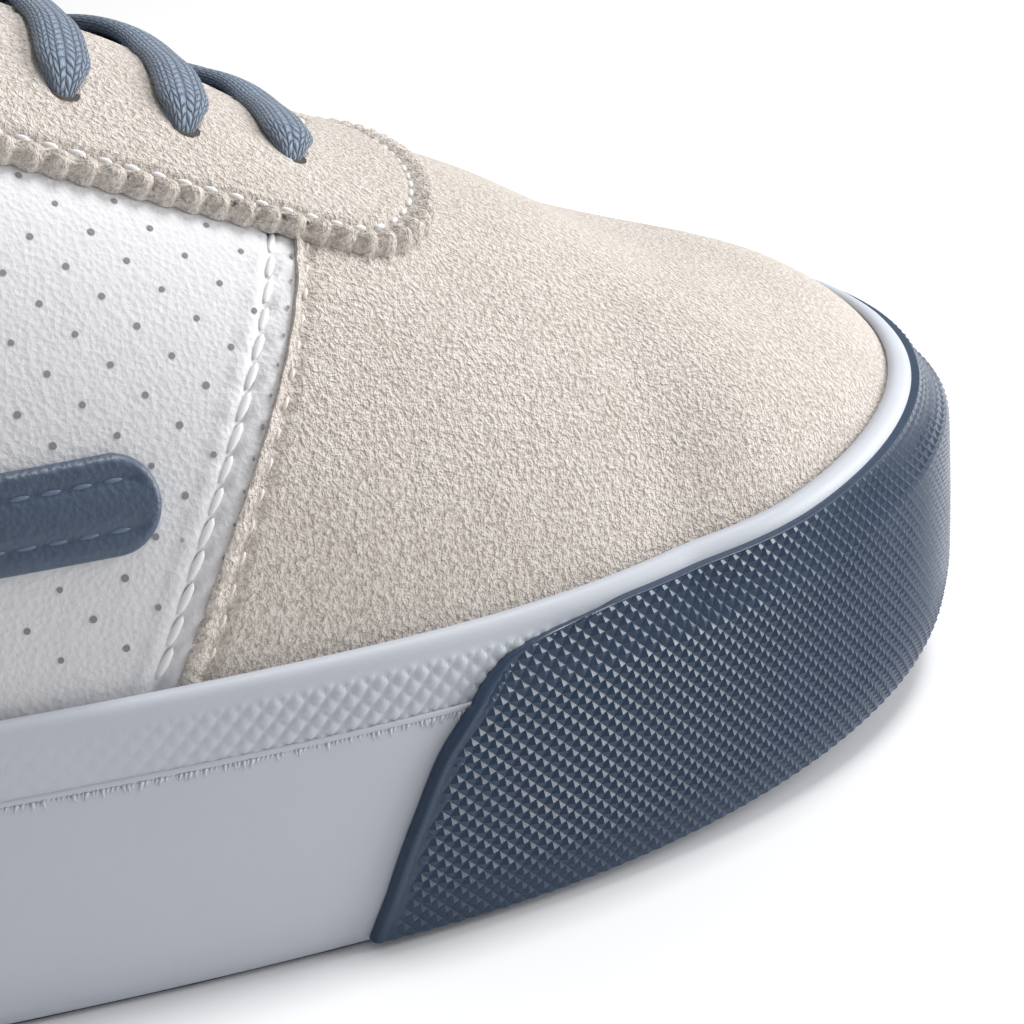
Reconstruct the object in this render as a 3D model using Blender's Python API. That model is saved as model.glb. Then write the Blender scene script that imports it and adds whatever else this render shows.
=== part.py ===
"""A right skateboarding shoe as separate solids around one last.

The toe points along +X, the medial side is +Y and the floor is z = 0. Every piece of the
upper reads the same last, which is a dome over the feather line: each column rises from
the feather line to a ridge that runs from the heel pole to the toe pole.
"""

import math

import bmesh
import bpy
import numpy as np

# Sole, in metres
SOLE_LENGTH = 0.296
SOLE_WIDTH = 0.105
HEEL_WIDTH = 0.081
TOE_SPRING = 0.0076
HEEL_BEVEL = 0.0015
FOXING_HEIGHT = 0.030
FOXING_WALL = 0.0032
WALL_FOOT = 0.0016
STRIP_HEIGHT = 0.0070
STRIP_WALL = 0.0028
RIM_RADIUS = 0.0008
BUMPER_PROUD = 0.0013
BUMPER_RIM_SHOW = 0.0015
BUMPER_CHAMFER = 0.0055
OUTSOLE_THICKNESS = 0.0042
OUTSOLE_INSET = 0.0012
TREAD_DEPTH = 0.0013
TREAD_PITCH = 0.0185
TREAD_GROOVE = 0.0042
TREAD_BORDER = 0.009
BOARD_HEIGHT = 0.0085
INSOLE_THICKNESS = 0.0042
INSOLE_LIP = 0.0025
INSOLE_LIP_RUN = 0.045
INSOLE_GAP = 0.0009

# Upper
UPPER_WALL = 0.0022
INSTEP_HEIGHT = 0.132
COLLAR_HEIGHT = 0.086
COLLAR_PAD = 0.0055
COLLAR_PAD_DEPTH = 0.026
OVERLAY_WALL = 0.0014
THROAT_HALF_WIDTH = 0.0105
THROAT_END_LENGTH = 0.010
EYESTAY_HALF_WIDTH = 0.0300
EYESTAY_FRONT_LENGTH = 0.013
TONGUE_WALL = 0.005
TONGUE_HALF_WIDTH = 0.029
TONGUE_TUCK = 0.014
COUNTER_HEIGHT = 0.070
TAB_LENGTH = 0.052
TAB_WIDTH = 0.0088
TAB_HEIGHT = 0.0465

# Lacing
EYELET_COUNT = 6
EYELET_PITCH = 0.0130
EYELET_RADIUS = 0.0021
EYELET_SETBACK = 0.0068
LACE_WIDTH = 0.0062
LACE_THICKNESS = 0.0018

# Clearance between pieces that lie on each other
FIT_GAP = 0.0003
OVERLAY_GAP = 0.0007
TONGUE_GAP = 0.0015

# Plan outline of the sole: where each side is widest, and how square its ends are.
# Stations are shares of the sole's length from the heel.
OUTLINE = {
    "lateral": dict(heel=0.18, ball=0.662, dip=0.0, square=2.17, side=-1.0),
    "medial": dict(heel=0.18, ball=0.745, dip=0.0068, square=2.16, side=1.0),
}
HEEL_SQUARE = 2.25
TIP_SHIFT = 0.0097
HEEL_SHIFT = -0.001

# The last. height is a share of the instep height, shift a share of the sole's width,
# side and top are the powers that make a section's side and top fuller.
RIDGE = (
    dict(station=0.00, height=0.960, shift=-0.010, side=2.45, top=3.1),
    dict(station=0.14, height=0.975, shift=-0.010, side=2.45, top=3.1),
    dict(station=0.28, height=0.985, shift=-0.005, side=2.40, top=3.0),
    dict(station=0.36, height=0.930, shift=0.000, side=2.35, top=2.9),
    dict(station=0.42, height=0.840, shift=0.005, side=2.32, top=2.7),
    dict(station=0.49, height=0.755, shift=0.012, side=2.30, top=2.5),
    dict(station=0.56, height=0.675, shift=0.018, side=2.30, top=2.4),
    dict(station=0.64, height=0.593, shift=0.024, side=2.30, top=2.4),
    dict(station=0.72, height=0.517, shift=0.028, side=2.30, top=2.4),
    dict(station=0.80, height=0.447, shift=0.029, side=2.30, top=2.4),
    dict(station=0.86, height=0.380, shift=0.030, side=2.75, top=3.6),
    dict(station=1.00, height=0.323, shift=0.030, side=2.75, top=3.6),
)
HEEL_POLE = 0.135
TOE_POLE = 0.866

# Top line of the collar: height as a share of the collar height at the heel.
COLLAR = (
    dict(station=0.000, height=1.00),
    dict(station=0.060, height=0.975),
    dict(station=0.170, height=0.800),
    dict(station=0.270, height=0.725),
    dict(station=0.345, height=0.765),
    dict(station=0.410, height=0.900),
    dict(station=0.455, height=1.110),
    dict(station=0.480, height=1.300),
)
THROAT_FRONT = 0.725
THROAT_REAR = 0.38
COLLAR_FRONT = 0.455
PAD_FRONT = 0.395
EYESTAY_REAR = 0.470
EYESTAY_FRONT = 0.767
TONGUE_TOP = 0.408
BUMPER_FOOT = 0.673
BUMPER_TOP = 0.740
COUNTER_FRONT = 0.235
TAB_FRONT = 0.620

BUMPER_MEDIAL_SHIFT = 0.010
RISE_STEPS = 6
SMALL = 1e-4
WELD = 0.00003
RIGHT_ANGLE = math.pi / 2


def smooth(share):
    """Eases from 0 to 1."""
    share = np.clip(share, 0.0, 1.0)
    return share * share * (3.0 - 2.0 * share)


def read(table, column, station):
    """One column of a table at any station, through a smooth curve."""
    x = np.array([row["station"] for row in table])
    y = np.array([row[column] for row in table])
    chord = np.diff(y) / np.diff(x)
    slope = np.concatenate([chord[:1], (chord[:-1] + chord[1:]) / 2.0, chord[-1:]])
    turning = np.concatenate([[False], chord[:-1] * chord[1:] <= 0.0, [False]])
    slope[turning] = 0.0
    at = np.clip(station, x[0], x[-1])
    i = np.clip(np.searchsorted(x, at, side="right") - 1, 0, len(x) - 2)
    span = x[i + 1] - x[i]
    s = (at - x[i]) / span
    start = (1.0 + 2.0 * s) * (1.0 - s) ** 2 * y[i] + s * (1.0 - s) ** 2 * span * slope[i]
    end = s * s * (3.0 - 2.0 * s) * y[i + 1] + s * s * (s - 1.0) * span * slope[i + 1]
    return start + end


def place(station):
    """x of a station, with the box's middle at x = 0."""
    return (station - 0.5) * SOLE_LENGTH - BUMPER_PROUD / 2.0


def station_of(x):
    """Station of an x."""
    return (x + BUMPER_PROUD / 2.0) / SOLE_LENGTH + 0.5


def floor_line(x):
    """Height of the sole's underside: flat, with a toe spring and a heel bevel."""
    toe = np.clip((station_of(x) - 0.70) / 0.30, 0.0, None) ** 2
    heel = np.clip((0.09 - station_of(x)) / 0.09, 0.0, None) ** 2
    return TOE_SPRING * toe + HEEL_BEVEL * heel


def side_outline(u, name):
    """Plan outline of one side of the sole, from heel (u = 0) to toe tip (u = 1)."""
    shape = OUTLINE[name]
    hand = shape["side"]
    ball_x, heel_x = place(shape["ball"]), place(shape["heel"])
    ball_y, heel_y = hand * SOLE_WIDTH / 2.0, hand * HEEL_WIDTH / 2.0 + HEEL_SHIFT
    turn = np.clip(u / 0.2, 0.0, 1.0) * RIGHT_ANGLE
    x_heel = heel_x - (heel_x - place(0.0)) * np.cos(turn) ** (2.0 / HEEL_SQUARE)
    y_heel = HEEL_SHIFT + (heel_y - HEEL_SHIFT) * np.sin(turn) ** (2.0 / HEEL_SQUARE)
    along = np.clip((u - 0.2) / 0.4, 0.0, 1.0)
    x_waist = heel_x + (ball_x - heel_x) * along
    y_waist = heel_y + (ball_y - heel_y) * smooth(along)
    y_waist = y_waist - hand * shape["dip"] * np.sin(math.pi * along) ** 2
    turn = np.clip((u - 0.6) / 0.4, 0.0, 1.0) * RIGHT_ANGLE
    x_toe = ball_x + (place(1.0) - ball_x) * np.sin(turn) ** (2.0 / shape["square"])
    y_toe = TIP_SHIFT + (ball_y - TIP_SHIFT) * np.cos(turn) ** (2.0 / shape["square"])
    x = np.where(u < 0.2, x_heel, np.where(u < 0.6, x_waist, x_toe))
    y = np.where(u < 0.2, y_heel, np.where(u < 0.6, y_waist, y_toe))
    return x, y


def outline(t):
    """Plan outline of the sole. t runs 0 to 1 along the lateral side and on to 2 back."""
    t = np.mod(np.asarray(t, float), 2.0)
    lateral = side_outline(np.minimum(t, 1.0), "lateral")
    medial = side_outline(np.minimum(2.0 - t, 1.0), "medial")
    return np.stack([np.where(t < 1.0, lateral[i], medial[i]) for i in (0, 1)], axis=-1)


def outward(t):
    """Unit normal of the plan outline, pointing out of the shoe."""
    along = outline(np.asarray(t) + SMALL) - outline(np.asarray(t) - SMALL)
    normal = np.stack([along[..., 1], -along[..., 0]], axis=-1)
    return normal / np.linalg.norm(normal, axis=-1, keepdims=True)


def inset(t, depth):
    """The outline moved inwards."""
    return outline(t) - outward(t) * np.asarray(depth)[..., None]


def last_point(t, rise):
    """The last's surface. rise runs from 0 at the feather line to 1 at the ridge."""
    foot = inset(t, FOXING_WALL + FIT_GAP)
    ridge_x = np.clip(foot[..., 0], place(HEEL_POLE), place(TOE_POLE))
    ridge_y = read(RIDGE, "shift", station_of(ridge_x)) * SOLE_WIDTH
    at = station_of(foot[..., 0])
    angle = np.asarray(rise) * RIGHT_ANGLE
    out = np.cos(angle)
    out = np.sign(out) * np.abs(out) ** (2.0 / read(RIDGE, "side", at))
    up = np.abs(np.sin(angle)) ** (2.0 / read(RIDGE, "top", at))
    x = ridge_x + (foot[..., 0] - ridge_x) * out
    y = ridge_y + (foot[..., 1] - ridge_y) * out
    base = floor_line(x) + BOARD_HEIGHT
    top = read(RIDGE, "height", station_of(x)) * INSTEP_HEIGHT
    return np.stack([x, y, base + (top - base) * up], axis=-1)


def last_normal(t, rise):
    """Unit normal of the last, outwards. On the ridge both sides give the same one."""
    t, rise = np.broadcast_arrays(np.asarray(t, float), np.asarray(rise, float))
    below = np.clip(rise, 0.03, 0.985)
    around = last_point(t + SMALL, below) - last_point(t - SMALL, below)
    upward = last_point(t, below + SMALL) - last_point(t, below - SMALL)
    normal = np.cross(around, upward)
    normal /= np.linalg.norm(normal, axis=-1, keepdims=True)
    x = last_point(t, rise)[..., 0]
    step = 0.001
    slope = read(RIDGE, "height", station_of(x + step)) - read(RIDGE, "height", station_of(x - step))
    slope = slope * INSTEP_HEIGHT / (2.0 * step)
    crown = np.stack([-slope, np.zeros_like(slope), np.ones_like(slope)], axis=-1)
    crown /= np.linalg.norm(crown, axis=-1, keepdims=True)
    near = smooth((rise - 0.90) / 0.10)[..., None]
    normal = normal * (1.0 - near) + crown * near
    return normal / np.linalg.norm(normal, axis=-1, keepdims=True)


def skin(t, rise, lift=0.0):
    """The last's surface moved outwards by lift."""
    return last_point(t, rise) + last_normal(t, rise) * np.asarray(lift)[..., None]


def t_at(x, name):
    """The t on one side where the feather line passes x."""
    u = np.linspace(0.0, 1.0, 801)
    t = u if name == "lateral" else 2.0 - u
    reach = inset(t, FOXING_WALL + FIT_GAP)[:, 0]
    return np.interp(x, reach, t)


def rise_at_height(t, height):
    """The rise at which a column reaches a height above the floor."""
    low, high = np.zeros(np.shape(t)), np.ones(np.shape(t))
    for _ in range(26):
        middle = (low + high) / 2.0
        under = last_point(t, middle)[..., 2] < height
        low, high = np.where(under, middle, low), np.where(under, high, middle)
    return (low + high) / 2.0


def rise_at_width(t, half_width):
    """The rise at which a column is half_width away from the ridge, in plan."""
    foot = inset(t, FOXING_WALL + FIT_GAP)
    ridge_x = np.clip(foot[..., 0], place(HEEL_POLE), place(TOE_POLE))
    reach = np.abs(foot[..., 1] - read(RIDGE, "shift", station_of(ridge_x)) * SOLE_WIDTH)
    share = np.clip(half_width / reach, 0.0, 1.0)
    power = read(RIDGE, "side", station_of(foot[..., 0])) / 2.0
    return np.arccos(share**power) / RIGHT_ANGLE


def round_end(x, end, length, width):
    """Half width of a slot or patch that closes in a half oval at x = end."""
    share = np.clip((x - (end - length)) / length, 0.0, 1.0)
    return width * np.sqrt(np.clip(1.0 - share**2, 0.0, 1.0))


def edge_rise(t):
    """Where the upper ends: at the ridge, the throat's edge or the collar's top line."""
    x = inset(t, FOXING_WALL + FIT_GAP)[..., 0]
    gap = round_end(x, place(THROAT_FRONT), THROAT_END_LENGTH, THROAT_HALF_WIDTH)
    closed = (x > place(THROAT_FRONT) - SMALL) | (x < place(THROAT_REAR))
    throat = np.where(closed, 1.0, rise_at_width(t, gap))
    topline = read(COLLAR, "height", station_of(x)) * COLLAR_HEIGHT
    return np.minimum(throat, rise_at_height(t, topline))


def material(name, colour, roughness):
    """A plain Principled material."""
    made = bpy.data.materials.new(name)
    made.use_nodes = True
    made.diffuse_color = (*colour, 1.0)
    shader = made.node_tree.nodes["Principled BSDF"]
    shader.inputs["Base Color"].default_value = (*colour, 1.0)
    shader.inputs["Roughness"].default_value = roughness
    shader.inputs["Metallic"].default_value = 0.0
    return made


def solid(name, points, faces, finish):
    """Makes one closed object out of points and faces, with what coincides welded."""
    mesh = bpy.data.meshes.new(name)
    bm = bmesh.new()
    verts = [bm.verts.new(p) for p in points]
    for face in faces:
        bm.faces.new([verts[i] for i in face])
    loose = [vert for vert in bm.verts if not vert.link_faces]
    bmesh.ops.delete(bm, geom=loose, context="VERTS")
    bmesh.ops.remove_doubles(bm, verts=bm.verts, dist=WELD)
    bmesh.ops.dissolve_degenerate(bm, edges=bm.edges, dist=0.000002)
    bmesh.ops.recalc_face_normals(bm, faces=bm.faces)
    bm.to_mesh(mesh)
    bm.free()
    mesh.materials.append(finish)
    mesh.shade_smooth()
    mesh.set_sharp_from_angle(angle=math.radians(40.0))
    made = bpy.data.objects.new(name, mesh)
    bpy.context.scene.collection.objects.link(made)
    return made


def grid_faces(rows, columns, closed=False):
    """Quads of a grid of points, row after row. closed joins the last row to the first."""
    faces = []
    for i in range(rows if closed else rows - 1):
        for j in range(columns - 1):
            a, b = i * columns + j, (i + 1) % rows * columns + j
            faces.append((a, b, b + 1, a + 1))
    return faces


def welded(points):
    """For each point, the first point that lies on the same spot."""
    apart = np.linalg.norm(points[:, None] - points[None, :], axis=-1)
    return np.argmax(apart < WELD, axis=1)


def plate(name, outer, inner, finish, closed=False):
    """A wall between two grids of points of the same shape."""
    rows, columns = outer.shape[:2]
    outer, inner = outer.reshape(-1, 3), inner.reshape(-1, 3)
    spot = [int(i) for i in welded(outer)]
    count = len(outer)
    faces = []
    for face in grid_faces(rows, columns, closed):
        corners = tuple(dict.fromkeys(spot[i] for i in face))
        if len(corners) > 2:
            faces.append(corners)
    sides = {(a, b) for face in faces for a, b in zip(face, face[1:] + face[:1])}
    back = [tuple(count + i for i in reversed(face)) for face in faces]
    rim = [(b, a, count + a, count + b) for a, b in sorted(sides) if (b, a) not in sides]
    return solid(name, np.concatenate([outer, inner]), faces + back + rim, finish)


def band(name, rings, finish):
    """A closed hoop whose cross-section passes through the rings in turn."""
    rows = np.stack(rings, axis=1)
    columns, turns = rows.shape[:2]
    faces = []
    for i in range(columns):
        for j in range(turns):
            k, n = (i + 1) % columns, (j + 1) % turns
            faces.append((i * turns + j, k * turns + j, k * turns + n, i * turns + n))
    return solid(name, rows.reshape(-1, 3), faces, finish)


def strap(name, rings, finish):
    """A strip whose cross-section passes through the rings, with both ends closed."""
    rows = np.stack(rings, axis=1)
    columns, turns = rows.shape[:2]
    faces = [tuple(reversed(range(turns))), tuple(range((columns - 1) * turns, columns * turns))]
    for i in range(columns - 1):
        for j in range(turns):
            n = (j + 1) % turns
            faces.append((i * turns + j, (i + 1) * turns + j, (i + 1) * turns + n, i * turns + n))
    return solid(name, rows.reshape(-1, 3), faces, finish)


def cut(body, cutter):
    """Takes the cutter out of the body and removes the cutter."""
    apply_boolean(body, cutter, "DIFFERENCE")


def apply_boolean(body, other, operation):
    """Applies one Boolean and removes the other object."""
    modifier = body.modifiers.new("boolean", "BOOLEAN")
    modifier.operation = operation
    modifier.solver = "EXACT"
    modifier.object = other
    bpy.context.view_layer.update()
    depsgraph = bpy.context.evaluated_depsgraph_get()
    mesh = bpy.data.meshes.new_from_object(body.evaluated_get(depsgraph))
    body.modifiers.clear()
    old = body.data
    body.data = mesh
    bpy.data.meshes.remove(old)
    bpy.data.objects.remove(other)


def upper_loop():
    """The t values of the upper's columns, with lateral and medial ones in pairs."""
    throat, length = place(THROAT_FRONT), THROAT_END_LENGTH
    slot = throat - length + length * np.sin(np.linspace(0.0, RIGHT_ANGLE, 4))
    front = place(EYESTAY_FRONT)
    stay = throat + (front - throat) * np.sin(np.linspace(0.0, RIGHT_ANGLE, 5)[1:])
    rear = np.linspace(place(HEEL_POLE), place(COLLAR_FRONT), 9)[:-1]
    middle = np.linspace(place(COLLAR_FRONT), slot[0], 9)[:-1]
    vamp = np.linspace(front, place(TOE_POLE), 4)[1:]
    x = np.concatenate([rear, middle, slot, stay, vamp])
    lateral, medial = t_at(x, "lateral"), t_at(x, "medial")
    toe = np.linspace(lateral[-1], medial[-1], 19)[1:-1]
    heel = np.linspace(medial[0], 2.0 + lateral[0], 13)[1:-1]
    return np.concatenate([lateral, toe, medial[::-1], heel])


def rim_height(x):
    """Height of the foxing's top edge above z = 0."""
    return floor_line(x) + FOXING_HEIGHT


def on_wall(t, height, outset):
    """A point beside the last at a height over the floor line, outset from its skin."""
    z = floor_line(outline(t)[..., 0]) + height
    rise = rise_at_height(t, z)
    near = last_point(t, rise)
    flat = last_normal(t, rise)
    flat[..., 2] = 0.0
    flat /= np.linalg.norm(flat, axis=-1, keepdims=True)
    moved = near + flat * np.asarray(outset)[..., None]
    moved[..., 2] = z
    return moved


def on_outline(t, height, depth):
    """A point at a height over the floor line and a depth inside the sole's outline."""
    plan = inset(t, np.full(np.shape(t), depth))
    return np.concatenate([plan, (floor_line(plan[..., 0]) + height)[..., None]], axis=-1)


def face_depth(height):
    """How far the foxing's outer face lies inside the outline at a height."""
    foot = 0.0006 * (1.0 - smooth(height / 0.006))
    lean = 0.0016 * (height / FOXING_HEIGHT) ** 2
    return foot + lean


def wall_levels():
    """Heights of the bends in the lower wall's outer face."""
    return (WALL_FOOT, WALL_FOOT + 0.004, FOXING_HEIGHT - STRIP_HEIGHT - 0.0012)


def make_foxing(rubber):
    """The lower wall and the narrow strip above it, each a hoop round the upper."""
    t = upper_loop()
    lip = FOXING_HEIGHT - STRIP_HEIGHT
    rings = [on_outline(t, level, face_depth(level)) for level in wall_levels()]
    rings.append(on_outline(t, lip, face_depth(lip) + 0.0006))
    rings.append(on_wall(t, lip, FIT_GAP))
    rings.append(on_wall(t, (lip + BOARD_HEIGHT) / 2.0, FIT_GAP))
    rings.append(on_outline(t, BOARD_HEIGHT - 0.0005, FOXING_WALL))
    rings.append(on_outline(t, WALL_FOOT, FOXING_WALL))
    band("foxing_wall", rings, rubber)
    top = FOXING_HEIGHT
    rings = [
        on_wall(t, lip + FIT_GAP, FIT_GAP),
        on_wall(t, lip + FIT_GAP, STRIP_WALL + FIT_GAP),
        on_wall(t, top - RIM_RADIUS * 1.4, STRIP_WALL),
        on_wall(t, top, STRIP_WALL - RIM_RADIUS * 1.2),
        on_wall(t, top - RIM_RADIUS * 0.4, FIT_GAP),
        on_wall(t, (top + lip) / 2.0, FIT_GAP),
    ]
    band("foxing_strip", rings, rubber)


def make_bumper(rubber):
    """The rubber bumper wrapped round the toe over the foxing."""
    loop = upper_loop()
    first = t_at(place(BUMPER_FOOT) - BUMPER_PROUD * 8.0, "lateral")
    final = t_at(place(BUMPER_FOOT) - BUMPER_MEDIAL_SHIFT * 2.0, "medial")
    t = loop[(loop > first) & (loop < final)]
    top = FOXING_HEIGHT - BUMPER_RIM_SHOW
    crease = top - BUMPER_CHAMFER
    lip = FOXING_HEIGHT - STRIP_HEIGHT
    gap = FIT_GAP * 1.5
    inner = [on_outline(t, level, face_depth(level) - gap) for level in wall_levels()]
    inner.append(on_outline(t, lip, face_depth(lip) - gap))
    inner.append(on_wall(t, top, STRIP_WALL + gap))
    outer = [
        on_wall(t, top, STRIP_WALL + gap + BUMPER_PROUD * 0.6),
        on_outline(t, crease, face_depth(crease) - BUMPER_PROUD),
        on_outline(t, WALL_FOOT, face_depth(WALL_FOOT) - BUMPER_PROUD),
    ]
    bumper = strap("toe_bumper", inner + outer, rubber)
    cut(bumper, bumper_ends())


def bumper_ends():
    """A block on each side that trims the bumper's slanted end."""
    points, faces = [], []
    for hand, back in ((-1.0, 0.0), (1.0, BUMPER_MEDIAL_SHIFT)):
        start = len(points)
        front = ((BUMPER_FOOT, -0.004), (BUMPER_FOOT, WALL_FOOT), (BUMPER_TOP, FOXING_HEIGHT), (BUMPER_TOP, 0.05))
        side = [(place(station) - back, z) for station, z in front]
        side += [(place(0.5), 0.05), (place(0.5), -0.004)]
        for y in (hand * 0.004, hand * SOLE_WIDTH):
            points += [(x, y, z) for x, z in side]
        faces += [tuple(start + k for k in range(6)), tuple(start + 11 - k for k in range(6))]
        for k in range(6):
            n = (k + 1) % 6
            faces.append((start + n, start + k, start + 6 + k, start + 6 + n))
    return solid("bumper_ends", points, faces, None)


def sole_grid(depth, height, lip=0.0, strips=2):
    """Rows of points across the sole at a height over the floor line."""
    rear = np.concatenate([np.linspace(0.0, 0.2, 8)[:-1], np.linspace(0.2, 0.6, 11)[:-1]])
    u = np.concatenate([rear, np.linspace(0.6, 1.0, 21)])
    across = np.linspace(-1.0, 1.0, strips + 1)
    lateral = inset(u, np.full(len(u), depth))
    medial = inset(2.0 - u, np.full(len(u), depth))
    share = (across + 1.0) / 2.0
    plan = lateral[:, None] * (1.0 - share)[None, :, None] + medial[:, None] * share[None, :, None]
    width = np.linalg.norm(lateral - medial, axis=-1)[:, None]
    edge = np.maximum((across**4)[None, :], 1.0 - smooth(width / INSOLE_LIP_RUN))
    z = floor_line(plan[..., 0]) + height + lip * edge
    return np.concatenate([plan, z[..., None]], axis=-1)


def slab(name, grids, finish):
    """A solid from a top grid to a bottom grid, through the borders of those between."""
    rows, columns = grids[0].shape[:2]
    spot = [int(i) for i in welded(grids[-1].reshape(-1, 3))]
    faces = []
    for face in grid_faces(rows, columns):
        corners = tuple(dict.fromkeys(spot[i] for i in face))
        if len(corners) > 2:
            faces.append(corners)
    sides = {(a, b) for face in faces for a, b in zip(face, face[1:] + face[:1])}
    border = [(a, b) for a, b in sorted(sides) if (b, a) not in sides]
    count = rows * columns
    last = (len(grids) - 1) * count
    every = faces + [tuple(last + i for i in reversed(face)) for face in faces]
    for level in range(len(grids) - 1):
        low, high = level * count, (level + 1) * count
        every += [(low + b, low + a, high + a, high + b) for a, b in border]
    return solid(name, np.concatenate([grid.reshape(-1, 3) for grid in grids]), every, finish)


def make_sole(outsole_rubber, foam, lining):
    """The outsole with its grooves, the midsole and the insole."""
    depth = FOXING_WALL + FIT_GAP
    edge = WALL_FOOT - FIT_GAP
    grids = [
        sole_grid(depth, OUTSOLE_THICKNESS),
        sole_grid(depth, edge),
        sole_grid(OUTSOLE_INSET, edge),
        sole_grid(OUTSOLE_INSET + FIT_GAP, 0.0),
    ]
    outsole = slab("outsole", grids, outsole_rubber)
    cut(outsole, tread_cutter())
    under = sole_grid(depth, OUTSOLE_THICKNESS + FIT_GAP)
    slab("midsole", [sole_grid(depth, BOARD_HEIGHT - FIT_GAP), under], foam)
    room = depth + UPPER_WALL + INSOLE_GAP
    top = sole_grid(room, BOARD_HEIGHT + INSOLE_THICKNESS, INSOLE_LIP, strips=3)
    slab("insole", [top, sole_grid(room, BOARD_HEIGHT, strips=3)], lining)


def tread_cutter():
    """Herringbone grooves across the outsole, as prisms that don't touch."""
    points, faces = [], []
    first, last = place(0.06), place(0.955)
    count = int((last - first) / TREAD_PITCH)
    for k in range(count + 1):
        x = first + k * TREAD_PITCH
        low = inset(t_at(x, "lateral"), OUTSOLE_INSET + TREAD_BORDER)[1]
        high = inset(t_at(x, "medial"), OUTSOLE_INSET + TREAD_BORDER)[1]
        y = np.linspace(low, high, 3)
        zigzag = TREAD_PITCH * 0.24 * np.where(np.arange(3) % 2 == 0, -1.0, 1.0)
        for side in (-0.5, 0.5):
            for z in (-0.004, None):
                px = x + zigzag + side * TREAD_GROOVE
                pz = floor_line(px) + (TREAD_DEPTH if z is None else z)
                points.append(np.stack([px, y, pz], axis=-1))
    rows = np.concatenate(points)
    for k in range(count + 1):
        a, b, c, d = ((4 * k + n) * 3 for n in (0, 1, 3, 2))
        ring = (a, b, c, d)
        faces += [tuple(ring), tuple(i + 2 for i in reversed(ring))]
        for i in range(2):
            for m in range(4):
                p, q = ring[m] + i, ring[(m + 1) % 4] + i
                faces.append((q, p, p + 1, q + 1))
    return solid("tread_cutter", rows, faces, None)


def make_upper(leather):
    """The hollow upper, open at collar and throat and underneath."""
    t = upper_loop()
    rise = edge_rise(t)[:, None] * np.linspace(0.0, 1.0, RISE_STEPS + 1)[None, :] ** 1.15
    columns = np.repeat(t[:, None], RISE_STEPS + 1, axis=1)
    outer, inner = skin(columns, rise), skin(columns, rise, np.full(rise.shape, -UPPER_WALL))
    return plate("upper", outer, inner, leather, closed=True)


def overlay(name, t, rise, finish, under=OVERLAY_GAP, thick=OVERLAY_WALL):
    """A piece that lies on the upper, from the upper's own skin."""
    low, high = np.full(np.shape(rise), under), np.full(np.shape(rise), under + thick)
    return plate(name, skin(t, rise, high), skin(t, rise, low), finish)


def eyestay_edge(x):
    """Half width of the eyestay: straight at the sides and round in front."""
    share = (x - place(EYESTAY_REAR)) / (place(THROAT_FRONT) - place(EYESTAY_REAR))
    width = eyestay_rear() + (EYESTAY_HALF_WIDTH - eyestay_rear()) * smooth(share)
    return round_end(x, place(EYESTAY_FRONT), EYESTAY_FRONT_LENGTH, width)


def make_eyestay(suede):
    """The eyestay, a U round the throat that closes over the vamp in front of it."""
    loop = upper_loop()
    rear, front = t_at(place(EYESTAY_REAR), "lateral"), t_at(place(EYESTAY_FRONT), "lateral")
    lateral = np.concatenate([[rear], loop[(loop > rear) & (loop < front)], [front]])
    x = inset(lateral, FOXING_WALL + FIT_GAP)[:, 0]
    t = np.concatenate([lateral, t_at(x, "medial")[::-1]])
    x = np.concatenate([x, x[::-1]])
    low = rise_at_width(t, eyestay_edge(x))
    gap = round_end(x, place(THROAT_FRONT), THROAT_END_LENGTH, THROAT_HALF_WIDTH)
    high = np.where(x > place(THROAT_FRONT) - SMALL, 1.0, rise_at_width(t, gap))
    rise = low[:, None] + (high - low)[:, None] * np.linspace(0.0, 1.0, 4)[None, :]
    return overlay("eyestay", np.repeat(t[:, None], 4, axis=1), rise, suede)


def eyestay_rear():
    """Half width of the eyestay at its rear end."""
    return EYESTAY_HALF_WIDTH * 0.93


def eyelet_x(index):
    """x of an eyelet, counted from the front."""
    return place(THROAT_FRONT) - THROAT_END_LENGTH * 0.25 - index * EYELET_PITCH


def eyelet_width():
    """Distance of the eyelets from the ridge, in plan."""
    return THROAT_HALF_WIDTH + EYELET_SETBACK


def eyelet_cutter():
    """Pins through every eyelet, square to the skin."""
    points, faces = [], []
    sides = 6
    for name in ("lateral", "medial"):
        for index in range(EYELET_COUNT):
            t = t_at(eyelet_x(index), name)
            rise = rise_at_width(t, eyelet_width())
            centre, axis = skin(t, rise), last_normal(t, rise)
            across = np.cross(axis, (0.0, 0.0, 1.0))
            across /= np.linalg.norm(across)
            other = np.cross(axis, across)
            start = len(points)
            for depth in (-UPPER_WALL * 2.0, OVERLAY_WALL * 3.0):
                for k in range(sides):
                    turn = 2.0 * math.pi * k / sides
                    spoke = across * math.cos(turn) + other * math.sin(turn)
                    points.append(centre + axis * depth + spoke * EYELET_RADIUS)
            faces += [tuple(start + k for k in reversed(range(sides))), tuple(start + sides + k for k in range(sides))]
            for k in range(sides):
                n = (k + 1) % sides
                faces.append((start + k, start + n, start + sides + n, start + sides + k))
    return solid("eyelet_cutter", points, faces, None)


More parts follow.
